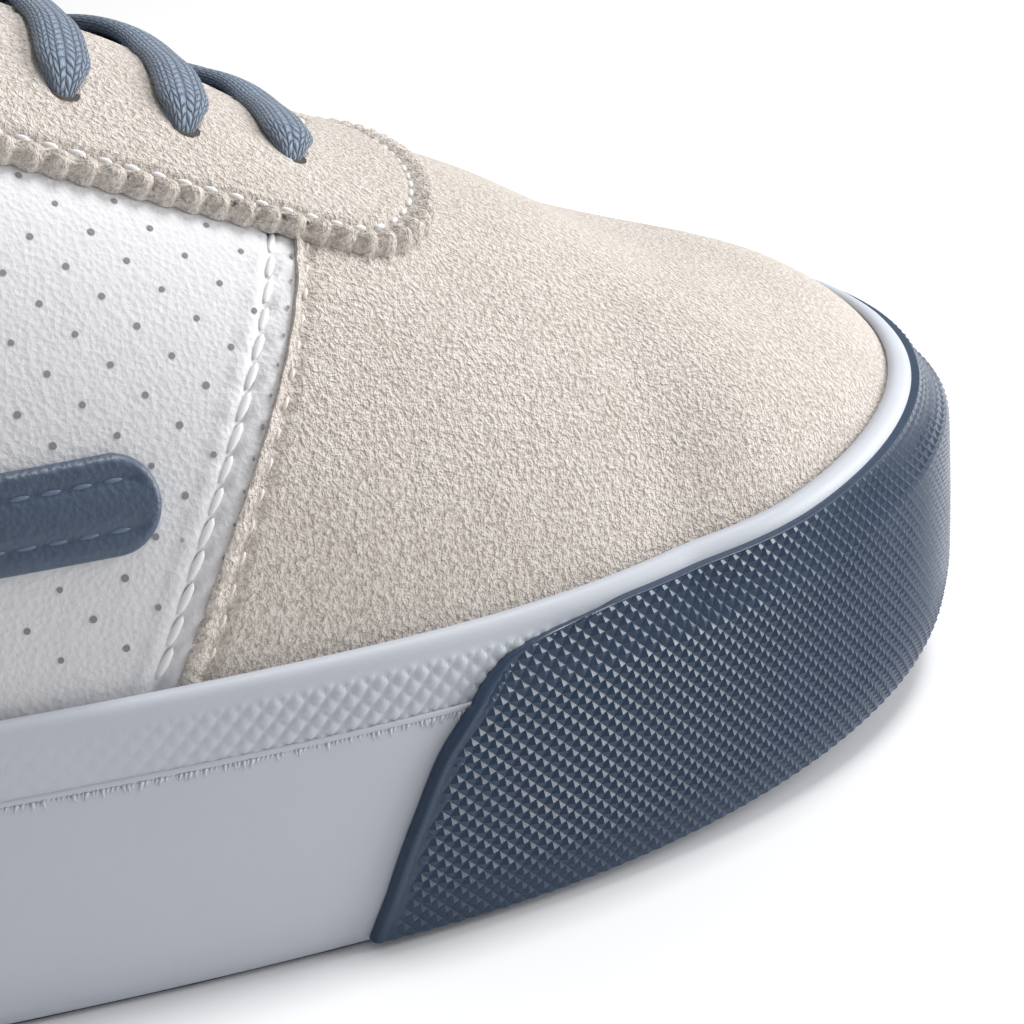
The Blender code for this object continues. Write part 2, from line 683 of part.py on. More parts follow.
def make_tongue(padding):
    """The padded tongue, under the eyestays and over the top of the throat."""
    x = np.linspace(place(THROAT_FRONT) + TONGUE_TUCK, place(TONGUE_TOP), 13)
    share = np.linspace(0.0, 1.0, len(x))
    half = TONGUE_HALF_WIDTH * (0.70 + 0.30 * smooth(share * 1.4))
    across = np.linspace(-1.0, 1.0, 7)
    t, rise = [], []
    for c in across:
        name = "lateral" if c <= 0.0 else "medial"
        column = t_at(x, name)
        t.append(column)
        rise.append(rise_at_width(column, half * abs(c)))
    t, rise = np.array(t).T, np.array(rise).T
    sunk = TONGUE_GAP * (1.0 + smooth((share - 0.70) / 0.15))
    top = -(UPPER_WALL + sunk)[:, None] * np.ones(rise.shape)
    fullness = 1.0 - 0.55 * np.abs(across[None, :]) ** 3
    thick = TONGUE_WALL * (0.45 + 0.55 * smooth(share * 2.5))[:, None] * fullness
    return plate("tongue", skin(t, rise, top), skin(t, rise, top - thick), padding)


def make_collar_pad(padding):
    """The padded lining behind the collar's top line."""
    start, end = t_at(place(PAD_FRONT), "lateral"), t_at(place(PAD_FRONT), "medial")
    t = np.linspace(end, 2.0 + start, 33)
    top = edge_rise(t)
    height = last_point(t, top)[:, 2]
    low = rise_at_height(t, height - COLLAR_PAD_DEPTH)
    rise = low[:, None] + (top - low)[:, None] * np.linspace(0.0, 1.0, 4)[None, :]
    columns = np.repeat(t[:, None], 4, axis=1)
    outer = -(UPPER_WALL + OVERLAY_GAP)
    thick = COLLAR_PAD * np.array([0.25, 0.85, 1.0, 0.8])[None, :] * np.ones(rise.shape)
    lift = np.full(rise.shape, outer)
    return plate("collar_pad", skin(columns, rise, lift), skin(columns, rise, lift - thick), padding)


def make_counter(suede):
    """The heel counter, over the back of the upper and down to the foxing."""
    start, end = t_at(place(COUNTER_FRONT), "lateral"), t_at(place(COUNTER_FRONT), "medial")
    share = np.linspace(-1.0, 1.0, 25)
    t = 2.0 + np.interp(share, (-1, 0, 1), (end - 2.0, 0.0, start))
    x = outline(t)[:, 0]
    low = rise_at_height(t, rim_height(x) + FIT_GAP)
    fall = smooth((np.abs(share) - 0.25) / 0.85)
    high_z = COUNTER_HEIGHT - (COUNTER_HEIGHT - FOXING_HEIGHT) * fall
    high = rise_at_height(t, high_z)
    rise = low[:, None] + (high - low)[:, None] * np.linspace(0.0, 1.0, 4)[None, :]
    return overlay("heel_counter", np.repeat(t[:, None], 4, axis=1), rise, suede)


def make_tab(name, side, leather):
    """A plain round-ended tab on the quarter."""
    turn = np.linspace(0.0, math.pi, 13)
    radius = TAB_WIDTH / 2.0
    run = np.cos(turn)
    reach = (TAB_LENGTH / 2.0 - radius) * np.clip(run * 1.6, -1.0, 1.0) + radius * run
    lift = radius * np.sqrt(np.clip(1.0 - np.clip((np.abs(reach) - TAB_LENGTH / 2.0 + radius) / radius, 0, 1) ** 2, 0, 1))
    x = place(TAB_FRONT) - TAB_LENGTH / 2.0 + reach
    t = t_at(x, side)
    middle = TAB_HEIGHT + 0.0 * x
    share = np.linspace(-1.0, 1.0, 3)
    rise = np.stack([rise_at_height(t, middle + lift * s) for s in share], axis=1)
    return overlay(name, np.repeat(t[:, None], 3, axis=1), rise, leather)


def lace_path(name, index):
    """A lace from its eyelet over the eyestay to the far edge of the throat."""
    other = "medial" if name == "lateral" else "lateral"
    hand = -1.0 if name == "lateral" else 1.0
    start_x, end_x = eyelet_x(index), eyelet_x(index + 1)
    far = THROAT_HALF_WIDTH - LACE_WIDTH * 0.35
    width = np.linspace(eyelet_width() + EYELET_RADIUS, -far, 7)
    share = (width[0] - width) / (width[0] - width[-1])
    x = start_x + (end_x - start_x) * share
    over = OVERLAY_GAP * 2.0 + OVERLAY_WALL + LACE_THICKNESS / 2.0
    lift = over - (over + UPPER_WALL * 0.35) * smooth((share - 0.30) / 0.70)
    points, normals = [], []
    for px, w, up in zip(x, width, lift):
        side = name if w >= 0.0 else other
        t = t_at(px, side)
        rise = rise_at_width(t, abs(w))
        points.append(skin(t, rise, up))
        normals.append(last_normal(t, rise))
    return np.array(points), np.array(normals), hand


def lace_strip(name, points, normals, finish):
    """A flat oval cord along a path."""
    along = np.gradient(points, axis=0)
    across = np.cross(along, normals)
    across /= np.linalg.norm(across, axis=1, keepdims=True)
    up = np.cross(across, along)
    up /= np.linalg.norm(up, axis=1, keepdims=True)
    rings = []
    for wide, thick in ((1.0, 0.0), (0.45, 1.0), (-0.45, 1.0), (-1.0, 0.0), (0.0, -1.0)):
        rings.append(points + across * wide * LACE_WIDTH / 2.0 + up * thick * LACE_THICKNESS / 2.0)
    return strap(name, rings, finish)


def make_laces(cord):
    """One crossing for each pair of neighbouring eyelets, its two laces joined."""
    for index in range(EYELET_COUNT - 1):
        points, normals, _ = lace_path("lateral", index)
        crossing = lace_strip(f"lace_crossing_{index + 1}", points, normals, cord)
        points, normals, _ = lace_path("medial", index)
        other = lace_strip("lace_other", points, normals, cord)
        apply_boolean(crossing, other, "UNION")


def main():
    """Builds the shoe."""
    for old in list(bpy.data.objects):
        bpy.data.objects.remove(old)
    suede = material("cream_suede", (0.66, 0.58, 0.51), 0.95)
    leather = material("white_leather", (0.80, 0.80, 0.81), 0.55)
    white = material("white_rubber", (0.78, 0.79, 0.83), 0.45)
    blue = material("blue_rubber", (0.085, 0.135, 0.21), 0.45)
    blue_leather = material("blue_leather", (0.05, 0.085, 0.14), 0.5)
    cord = material("blue_cord", (0.19, 0.26, 0.36), 0.85)
    foam = material("white_foam", (0.8, 0.8, 0.8), 0.8)
    lining = material("lining_cloth", (0.62, 0.60, 0.58), 0.9)
    make_sole(blue, foam, lining)
    make_foxing(white)
    make_bumper(blue)
    upper = make_upper(leather)
    eyestay = make_eyestay(suede)
    cut(upper, eyelet_cutter())
    cut(eyestay, eyelet_cutter())
    make_tongue(lining)
    make_collar_pad(lining)
    make_counter(suede)
    make_tab("side_tab_lateral", "lateral", blue_leather)
    make_tab("side_tab_medial", "medial", blue_leather)
    make_laces(cord)


main()
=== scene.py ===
"""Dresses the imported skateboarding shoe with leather, suede, rubber, stitching and laces.

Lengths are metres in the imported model's frame: the toe points along +X, the medial side is +Y
and the floor is z = 0. Each class is one sub-assembly and each finish is one material.
"""

import logging
import math
from dataclasses import dataclass
from enum import Enum
from functools import cached_property
from typing import Any

import bmesh
import bpy
import numpy as np
from mathutils import Matrix, Vector


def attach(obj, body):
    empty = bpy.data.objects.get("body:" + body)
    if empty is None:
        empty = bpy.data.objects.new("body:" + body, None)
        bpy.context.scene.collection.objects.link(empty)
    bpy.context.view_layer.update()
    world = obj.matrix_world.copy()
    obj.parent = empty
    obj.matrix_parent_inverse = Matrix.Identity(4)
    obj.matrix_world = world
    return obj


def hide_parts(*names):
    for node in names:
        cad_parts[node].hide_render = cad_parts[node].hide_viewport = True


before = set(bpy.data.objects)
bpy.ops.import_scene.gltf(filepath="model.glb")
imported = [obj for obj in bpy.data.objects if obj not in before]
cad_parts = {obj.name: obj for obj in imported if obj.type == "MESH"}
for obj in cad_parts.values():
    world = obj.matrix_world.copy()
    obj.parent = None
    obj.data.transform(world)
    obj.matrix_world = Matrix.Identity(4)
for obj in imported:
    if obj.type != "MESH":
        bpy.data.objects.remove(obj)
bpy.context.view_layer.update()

LOG = logging.getLogger("shoe")
MM = 0.001
RIGHT_ANGLE = math.pi / 2
Array = np.ndarray


class Side(Enum):
    """A side of the shoe, with the sign of its y."""

    LATERAL = -1.0
    MEDIAL = 1.0


def smooth(share: Array | float) -> Array:
    """Eases from 0 to 1."""
    share = np.clip(share, 0.0, 1.0)
    return share * share * (3.0 - 2.0 * share)


def bump(distance: Array, middle: float, reach: float) -> Array:
    """A soft hump of height 1 at middle that ends reach away on both sides."""
    return 1.0 - smooth(np.abs(distance - middle) / reach)


def read(rows: tuple, column: int, at: Array | float) -> Array:
    """Reads one column of a table at any place, through a smooth curve.

    Args:
        rows: Table rows, with the place in the first column.
        column: Which column to read.
        at: Places to read it at.

    Returns:
        The column's values.
    """
    table = np.array(rows, float)
    x, y = table[:, 0], table[:, column]
    chord = np.diff(y) / np.diff(x)
    slope = np.concatenate([chord[:1], (chord[:-1] + chord[1:]) / 2.0, chord[-1:]])
    slope[np.concatenate([[False], chord[:-1] * chord[1:] <= 0.0, [False]])] = 0.0
    at = np.clip(at, x[0], x[-1])
    i = np.clip(np.searchsorted(x, at, side="right") - 1, 0, len(x) - 2)
    span = x[i + 1] - x[i]
    s = (at - x[i]) / span
    start = (1.0 + 2.0 * s) * (1.0 - s) ** 2 * y[i] + s * (1.0 - s) ** 2 * span * slope[i]
    return start + s * s * (3.0 - 2.0 * s) * y[i + 1] + s * s * (s - 1.0) * span * slope[i + 1]


def round_end(x: Array, end: float, length: float, width: Array | float) -> Array:
    """Half width of a slot or patch that closes in a half oval at x = end."""
    share = np.clip((x - (end - length)) / length, 0.0, 1.0)
    return width * np.sqrt(np.clip(1.0 - share**2, 0.0, 1.0))


def rounded(distance: Array, radius: float) -> Array:
    """Share of the full height at a distance from an edge that is rounded with a radius."""
    return np.sqrt(np.clip(1.0 - (1.0 - np.clip(distance / radius, 0.0, 1.0)) ** 2, 0.0, 1.0))


def zigzag(phase: Array) -> Array:
    """A wave of straight flanks, 0 at whole phases and 1 halfway between them."""
    return 1.0 - np.abs(2.0 * np.mod(phase, 1.0) - 1.0)


def unit(vectors: Array) -> Array:
    """Vectors of length 1."""
    return vectors / np.linalg.norm(vectors, axis=-1, keepdims=True)


@dataclass(frozen=True)
class Last:
    """The last and the sole's plan outline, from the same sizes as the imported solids.

    A point on it has t, which runs 0 to 1 along the lateral side from heel to toe and on to 2
    back along the medial side, and rise, from 0 at the feather line to 1 at the ridge.
    """

    length: float = 0.296
    width: float = 0.105
    heel_width: float = 0.081
    proud: float = 0.0013
    toe_spring: float = 0.0076
    heel_bevel: float = 0.0015
    board: float = 0.0085
    instep: float = 0.132
    foot_depth: float = 0.0035
    tip_shift: float = 0.0097
    heel_shift: float = -0.001
    heel_square: float = 2.25
    heel_pole: float = 0.135
    toe_pole: float = 0.866
    throat_front: float = 0.725
    throat_rear: float = 0.38
    throat_half: float = 0.0105
    throat_end: float = 0.010
    collar_height: float = 0.086
    spring_start: float = 0.70
    bevel_end: float = 0.09
    heel_turn: float = 0.2
    toe_turn: float = 0.6
    crown_start: float = 0.90
    # heel, ball, dip and squareness of each side's outline
    lateral: tuple = (0.18, 0.662, 0.0, 2.17)
    medial: tuple = (0.18, 0.745, 0.0068, 2.16)
    # station, height, shift, side and top fullness of the ridge
    ridge: tuple = (
        (0.00, 0.960, -0.010, 2.45, 3.1),
        (0.14, 0.975, -0.010, 2.45, 3.1),
        (0.28, 0.985, -0.005, 2.40, 3.0),
        (0.36, 0.930, 0.000, 2.35, 2.9),
        (0.42, 0.840, 0.005, 2.32, 2.7),
        (0.49, 0.755, 0.012, 2.30, 2.5),
        (0.56, 0.675, 0.018, 2.30, 2.4),
        (0.64, 0.593, 0.024, 2.30, 2.4),
        (0.72, 0.517, 0.028, 2.30, 2.4),
        (0.80, 0.447, 0.029, 2.30, 2.4),
        (0.86, 0.380, 0.030, 2.75, 3.6),
        (1.00, 0.323, 0.030, 2.75, 3.6),
    )
    # station and height of the collar's top line
    collar: tuple = (
        (0.000, 1.00), (0.060, 0.975), (0.170, 0.800), (0.270, 0.725),
        (0.345, 0.765), (0.410, 0.900), (0.455, 1.110), (0.480, 1.300),
    )

    def place(self, station: float) -> float:
        """x of a station, which is a share of the sole's length from the heel."""
        return (station - 0.5) * self.length - self.proud / 2.0

    def station(self, x: Array | float) -> Array:
        """Station of an x."""
        return (x + self.proud / 2.0) / self.length + 0.5

    def floor_line(self, x: Array) -> Array:
        """Height of the sole's underside, with its toe spring and heel bevel.

        Args:
            x: x of each point.

        Returns:
            The heights.
        """
        at = self.station(x)
        toe = np.clip((at - self.spring_start) / (1.0 - self.spring_start), 0.0, None) ** 2
        heel = np.clip((self.bevel_end - at) / self.bevel_end, 0.0, None) ** 2
        return self.toe_spring * toe + self.heel_bevel * heel

    def side_outline(self, u: Array, side: Side) -> tuple[Array, Array]:
        """Plan outline of one side of the sole, from heel (u = 0) to toe tip (u = 1).

        Args:
            u: Places along the side.
            side: The side of the shoe.

        Returns:
            x and y.
        """
        heel, ball, dip, square = self.lateral if side is Side.LATERAL else self.medial
        hand = side.value
        ball_x, heel_x = self.place(ball), self.place(heel)
        ball_y, heel_y = hand * self.width / 2.0, hand * self.heel_width / 2.0 + self.heel_shift
        first, final = self.heel_turn, self.toe_turn
        turn = np.clip(u / first, 0.0, 1.0) * RIGHT_ANGLE
        power = 2.0 / self.heel_square
        x_heel = heel_x - (heel_x - self.place(0.0)) * np.cos(turn) ** power
        y_heel = self.heel_shift + (heel_y - self.heel_shift) * np.sin(turn) ** power
        along = np.clip((u - first) / (final - first), 0.0, 1.0)
        x_waist = heel_x + (ball_x - heel_x) * along
        y_waist = heel_y + (ball_y - heel_y) * smooth(along)
        y_waist = y_waist - hand * dip * np.sin(math.pi * along) ** 2
        turn = np.clip((u - final) / (1.0 - final), 0.0, 1.0) * RIGHT_ANGLE
        x_toe = ball_x + (self.place(1.0) - ball_x) * np.sin(turn) ** (2.0 / square)
        y_toe = self.tip_shift + (ball_y - self.tip_shift) * np.cos(turn) ** (2.0 / square)
        x = np.where(u < first, x_heel, np.where(u < final, x_waist, x_toe))
        return x, np.where(u < first, y_heel, np.where(u < final, y_waist, y_toe))

    def outline(self, t: Array) -> Array:
        """Plan outline of the sole.

        Args:
            t: Places round the last.

        Returns:
            x and y of each place.
        """
        t = np.mod(np.asarray(t, float), 2.0)
        lateral = self.side_outline(np.minimum(t, 1.0), Side.LATERAL)
        medial = self.side_outline(np.minimum(2.0 - t, 1.0), Side.MEDIAL)
        return np.stack([np.where(t < 1.0, lateral[i], medial[i]) for i in (0, 1)], axis=-1)

    def inset(self, t: Array, depth: Array | float) -> Array:
        """The outline moved inwards by a depth.

        Args:
            t: Places round the last.
            depth: Distance inwards.

        Returns:
            x and y of each place.
        """
        step = 1e-4
        along = self.outline(np.asarray(t) + step) - self.outline(np.asarray(t) - step)
        normal = unit(np.stack([along[..., 1], -along[..., 0]], axis=-1))
        return self.outline(t) - normal * np.asarray(depth)[..., None]

    def foot_and_ridge(self, t: Array) -> tuple[Array, Array, Array]:
        """Plan of the feather line, and x and y of the ridge that each column leans to.

        Args:
            t: Places round the last.

        Returns:
            The feather line, the ridge's x and its y.
        """
        foot = self.inset(t, self.foot_depth)
        ridge_x = np.clip(foot[..., 0], self.place(self.heel_pole), self.place(self.toe_pole))
        return foot, ridge_x, read(self.ridge, 2, self.station(ridge_x)) * self.width

    def point(self, t: Array, rise: Array) -> Array:
        """The last's surface.

        Args:
            t: Places round the last.
            rise: Shares of the way up to the ridge.

        Returns:
            The points.
        """
        foot, ridge_x, ridge_y = self.foot_and_ridge(t)
        at = self.station(foot[..., 0])
        angle = np.asarray(rise) * RIGHT_ANGLE
        out = np.cos(angle)
        out = np.sign(out) * np.abs(out) ** (2.0 / read(self.ridge, 3, at))
        up = np.abs(np.sin(angle)) ** (2.0 / read(self.ridge, 4, at))
        x = ridge_x + (foot[..., 0] - ridge_x) * out
        y = ridge_y + (foot[..., 1] - ridge_y) * out
        base = self.floor_line(x) + self.board
        top = read(self.ridge, 1, self.station(x)) * self.instep
        return np.stack([x, y, base + (top - base) * up], axis=-1)

    def normal(self, t: Array, rise: Array) -> Array:
        """Unit normal of the last, outwards. On the ridge both sides give the same one.

        Args:
            t: Places round the last.
            rise: Shares of the way up to the ridge.

        Returns:
            The normals.
        """
        t, rise = np.broadcast_arrays(np.asarray(t, float), np.asarray(rise, float))
        below = np.clip(rise, 0.03, 0.985)
        step = 1e-4
        around = self.point(t + step, below) - self.point(t - step, below)
        upward = self.point(t, below + step) - self.point(t, below - step)
        normal = unit(np.cross(around, upward))
        x = self.point(t, rise)[..., 0]
        slope = read(self.ridge, 1, self.station(x + MM)) - read(self.ridge, 1, self.station(x - MM))
        slope = slope * self.instep / (2.0 * MM)
        crown = unit(np.stack([-slope, np.zeros_like(slope), np.ones_like(slope)], axis=-1))
        near = smooth((rise - self.crown_start) / (1.0 - self.crown_start))[..., None]
        return unit(normal * (1.0 - near) + crown * near)

    def skin(self, t: Array, rise: Array, lift: Array | float = 0.0) -> Array:
        """The last's surface moved outwards by lift."""
        return self.point(t, rise) + self.normal(t, rise) * np.asarray(lift)[..., None]

    @cached_property
    def feather(self) -> dict[Side, tuple[Array, Array]]:
        """x and t along the feather line of each side.

        Returns:
            For each side, x and t.
        """
        u = np.linspace(0.0, 1.0, 4001)
        lines = {}
        for side in Side:
            t = u if side is Side.LATERAL else 2.0 - u
            lines[side] = (np.maximum.accumulate(self.inset(t, self.foot_depth)[:, 0]), t)
        return lines

    def t_at(self, x: Array, side: Side) -> Array:
        """The t on one side where the feather line passes x."""
        return np.interp(x, *self.feather[side])

    def rise_at_height(self, t: Array, height: Array) -> Array:
        """The rise at which a column reaches a height above z = 0.

        Args:
            t: Places round the last.
            height: Heights above z = 0.

        Returns:
            The rises.
        """
        low, high = np.zeros(np.shape(t)), np.ones(np.shape(t))
        for _ in range(19):
            middle = (low + high) / 2.0
            under = self.point(t, middle)[..., 2] < height
            low, high = np.where(under, middle, low), np.where(under, high, middle)
        return (low + high) / 2.0

    def rise_at_width(self, t: Array, half_width: Array) -> Array:
        """The rise at which a column is half_width away from the ridge, in plan.

        Args:
            t: Places round the last.
            half_width: Distance from the ridge, in plan.

        Returns:
            The rises.
        """
        foot, _, ridge_y = self.foot_and_ridge(t)
        share = np.clip(half_width / np.abs(foot[..., 1] - ridge_y), 0.0, 1.0)
        fullness = read(self.ridge, 3, self.station(foot[..., 0]))
        return np.arccos(share ** (fullness / 2.0)) / RIGHT_ANGLE

    def edge_rise(self, t: Array) -> Array:
        """Where the upper ends: at the ridge, the throat's edge or the collar's top line.

        Args:
            t: Places round the last.

        Returns:
            The rises.
        """
        x = self.inset(t, self.foot_depth)[..., 0]
        gap = round_end(x, self.place(self.throat_front), self.throat_end, self.throat_half)
        closed = (x > self.place(self.throat_front) - 1e-4) | (x < self.place(self.throat_rear))
        throat = np.where(closed, 1.0, self.rise_at_width(t, gap))
        topline = read(self.collar, 1, self.station(x)) * self.collar_height
        return np.minimum(throat, self.rise_at_height(t, topline))

    def from_above(self, x: Array, width: Array) -> tuple[Array, Array]:
        """t and rise at x and a signed distance from the ridge, in plan.

        Args:
            x: x of each point.
            width: Signed distance from the ridge, in plan.

        Returns:
            t and rise.
        """
        x, width = np.broadcast_arrays(np.asarray(x, float), np.asarray(width, float))
        t = np.where(width < 0.0, self.t_at(x, Side.LATERAL), self.t_at(x, Side.MEDIAL))
        return t, self.rise_at_width(t, np.abs(width))

    def from_side(self, x: Array, z: Array, side: Side) -> tuple[Array, Array]:
        """t and rise on one side at x and a height above z = 0."""
        t = self.t_at(x, side)
        return t, self.rise_at_height(t, z)

    def plan(self, x: Array, width: Array, lift: Array | float = 0.0) -> Array:
        """A point above the last at x and a signed distance from the ridge, in plan."""
        return self.skin(*self.from_above(x, width), lift)

    def placed(self, t: Array, rise: Array, lift: Array | float) -> tuple[Array, Array]:
        """Points above the last and the normals there."""
        return self.skin(t, rise, lift), self.normal(t, rise)

    def even_t(self, start: float, end: float, pitch: float) -> Array:
        """Values of t from start to end, an even distance apart along the outline.

        Args:
            start: First place.
            end: Last place.
            pitch: Distance between two.

        Returns:
            The places.
        """
        fine = np.linspace(start, end, 6001)
        step = np.linalg.norm(np.diff(self.outline(fine), axis=0), axis=1)
        run = np.concatenate([[0.0], np.cumsum(step)])
        return np.interp(np.linspace(0.0, run[-1], int(round(run[-1] / pitch)) + 1), run, fine)


LAST = Last()


def distance_along(points: Array, axis: int = 0) -> Array:
    """Distance from the first point along one axis of a grid of points.

    Args:
        points: The points.
        axis: The grid's axis.

    Returns:
        The distances.
    """
    step = np.linalg.norm(np.diff(points, axis=axis), axis=-1)
    pad = [(0, 0)] * step.ndim
    pad[axis] = (1, 0)
    return np.pad(np.cumsum(step, axis=axis), pad)


def surface_uv(points: Array) -> Array:
    """UVs in metres along the rows and columns of a grid of points."""
    return np.stack([distance_along(points, 0), distance_along(points, 1)], axis=-1)


def grid_faces(rows: int, columns: int) -> Array:
    """Quads of a grid of points that face along rows × columns.

    Args:
        rows: Rows of the grid.
        columns: Columns of the grid.

    Returns:
        Point numbers of each quad.
    """
    index = np.arange(rows * columns).reshape(rows, columns)
    corners = (index[:-1, :-1], index[1:, :-1], index[1:, 1:], index[:-1, 1:])
    return np.stack(corners, axis=-1).reshape(-1, 4)


def rim_faces(rows: int, columns: int, ends: bool, sealed: Array | None) -> Array:
    """Quads between the borders of two grids.

    Args:
        rows: Rows of each grid.
        columns: Columns of each grid.
        ends: Whether the first and last row get a rim.
        sealed: For each row, whether its last point lies on the ridge and needs no rim.

    Returns:
        The quads' point numbers.
    """
    index = np.arange(rows * columns).reshape(rows, columns)
    top = np.stack([index[1:, -1], index[:-1, -1]], axis=-1)
    if sealed is not None:
        top = top[~(sealed[1:] & sealed[:-1])]
    edges = [np.stack([index[:-1, 0], index[1:, 0]], axis=-1), top]
    if ends:
        edges.append(np.stack([index[0, 1:], index[0, :-1]], axis=-1))
        edges.append(np.stack([index[-1, :-1], index[-1, 1:]], axis=-1))
    edge = np.concatenate(edges)
    other = edge + rows * columns
    return np.stack([edge[:, 1], edge[:, 0], other[:, 0], other[:, 1]], axis=-1)


def end_faces(rows: int, columns: int, start: int = 0) -> list[list[int]]:
    """The two end faces of a tube whose rows are closed rings."""
    return [[start + row * columns + k for k in range(columns - 1)] for row in (0, rows - 1)]


def make_mesh(name: str, points: Array, faces: list | Array, finish: bpy.types.Material,
              uv: Array | None = None, sharp: float = 55.0, weld: float = 1e-5) -> bpy.types.Object:
    """Makes one object out of points and faces, with what coincides welded.

    Args:
        name: The piece's name.
        points: Points, one a row.
        faces: Point numbers of each face.
        finish: The material.
        uv: UV of each point, in metres.
        sharp: Edges bent more than this many degrees stay sharp.
        weld: Points closer than this become one.

    Returns:
        The object, linked to the scene.
    """
    mesh = bpy.data.meshes.new(name)
    mesh.from_pydata(points.tolist(), [], faces.tolist() if isinstance(faces, np.ndarray) else faces)
    if uv is not None:
        corner = np.zeros(len(mesh.loops), int)
        mesh.loops.foreach_get("vertex_index", corner)
        mesh.uv_layers.new(name="UVMap").data.foreach_set("uv", uv[corner].ravel())
    bm = bmesh.new()
    bm.from_mesh(mesh)
    bmesh.ops.remove_doubles(bm, verts=bm.verts, dist=weld)
    bmesh.ops.dissolve_degenerate(bm, edges=bm.edges, dist=weld / 10.0)
    bmesh.ops.recalc_face_normals(bm, faces=bm.faces)
    bm.to_mesh(mesh)
    bm.free()
    mesh.materials.append(finish)
    mesh.shade_smooth()
    mesh.set_sharp_from_angle(angle=math.radians(sharp))
    made = bpy.data.objects.new(name, mesh)
    bpy.context.scene.collection.objects.link(made)
    return made


def make_shell(name: str, outer: Array, inner: Array, finish: bpy.types.Material,
               ends: bool = True, sealed: Array | None = None) -> bpy.types.Object:
    """A closed wall between two grids of points of the same shape.

    Args:
        name: The piece's name.
        outer: Grid of the outer face.
        inner: Grid of the inner face.
        finish: The material.
        ends: Whether the first and last row get a rim.
        sealed: Which rows end on the ridge and need no rim there.

    Returns:
        The object.
    """
    rows, columns = outer.shape[:2]
    faces = grid_faces(rows, columns)
    back = faces[:, ::-1] + rows * columns
    rim = rim_faces(rows, columns, ends, sealed)
    uv = surface_uv(outer).reshape(-1, 2)
    points = np.concatenate([outer.reshape(-1, 3), inner.reshape(-1, 3)])
    return make_mesh(name, points, np.concatenate([faces, back, rim]), finish, np.concatenate([uv, uv]))


def make_hoop(name: str, rings: list[Array], finish: bpy.types.Material) -> bpy.types.Object:
    """A closed hoop whose cross-section passes through the rings in turn.

    Args:
        name: The piece's name.
        rings: Rings of points, in order.
        finish: The material.

    Returns:
        The object.
    """
    rows = np.stack(rings + rings[:1], axis=1)
    faces = grid_faces(*rows.shape[:2])
    return make_mesh(name, rows.reshape(-1, 3), faces, finish, surface_uv(rows).reshape(-1, 2))


def hand_in(piece: bpy.types.Object, slot: str, *nodes: str) -> bpy.types.Object:
    """Gives a finished piece to the frame and reports it.

    Args:
        piece: The piece.
        slot: Name of a material slot, only written to the log.
        nodes: The CAD nodes that it replaces.

    Returns:
        The same piece.
    """
    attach(piece, "root")
    if nodes:
        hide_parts(*nodes)
    piece.data.calc_loop_triangles()
    LOG.info("%s: %d triangles, slot %s", piece.name, len(piece.data.loop_triangles), slot)
    return piece


def linear(colour: str) -> tuple[float, float, float, float]:
    """Linear RGBA of an sRGB hex colour."""
    parts = [int(colour[i : i + 2], 16) / 255.0 for i in (1, 3, 5)]
    return (*(p / 12.92 if p <= 0.04045 else ((p + 0.055) / 1.055) ** 2.4 for p in parts), 1.0)


def add_node(tree: bpy.types.NodeTree, kind: str, settings: dict[str, Any] | None = None,
             inputs: dict[Any, Any] | None = None) -> bpy.types.Node:
    """Adds one node with its settings, values and links.

    Args:
        tree: The node tree.
        kind: The node's type name.
        settings: Property values.
        inputs: For each input socket, its value or the output socket that feeds it.

    Returns:
        The node.
    """
    node = tree.nodes.new(kind)
    for key, value in (settings or {}).items():
        setattr(node, key, value)
    for key, value in (inputs or {}).items():
        if isinstance(value, bpy.types.NodeSocket):
            tree.links.new(value, node.inputs[key])
        else:
            node.inputs[key].default_value = value
    return node


def smudge(tree: bpy.types.NodeTree, at: bpy.types.NodeSocket, colour: bpy.types.NodeSocket,
           marks: tuple, dark: str) -> bpy.types.NodeSocket:
    """Darkens a colour at a few small marks.

    Args:
        tree: The material's tree.
        at: The object position.
        colour: The clean colour.
        marks: x, y, z and radius of each mark, in millimetres.
        dark: The marks' colour.

    Returns:
        The marked colour.
    """
    rough = add_node(tree, "ShaderNodeTexNoise", None, {"Vector": at, "Scale": 1.0 / (0.5 * MM)})
    for *place, radius in marks:
        gap = add_node(tree, "ShaderNodeVectorMath", {"operation": "DISTANCE"}, {
            0: at, 1: tuple(v * MM for v in place)})
        torn = add_node(tree, "ShaderNodeMath", {"operation": "MULTIPLY_ADD"}, {
            0: rough.outputs["Fac"], 1: radius * MM, 2: gap.outputs["Value"]})
        share = add_node(tree, "ShaderNodeMapRange", None, {
            "Value": torn.outputs[0], "From Min": 0.7 * radius * MM, "From Max": 1.4 * radius * MM,
            "To Min": 0.75, "To Max": 0.0})
        mixed = add_node(tree, "ShaderNodeMix", {"data_type": "RGBA"}, {
            "Factor": share.outputs[0], "A": colour, "B": linear(dark)})
        colour = mixed.outputs["Result"]
    return colour


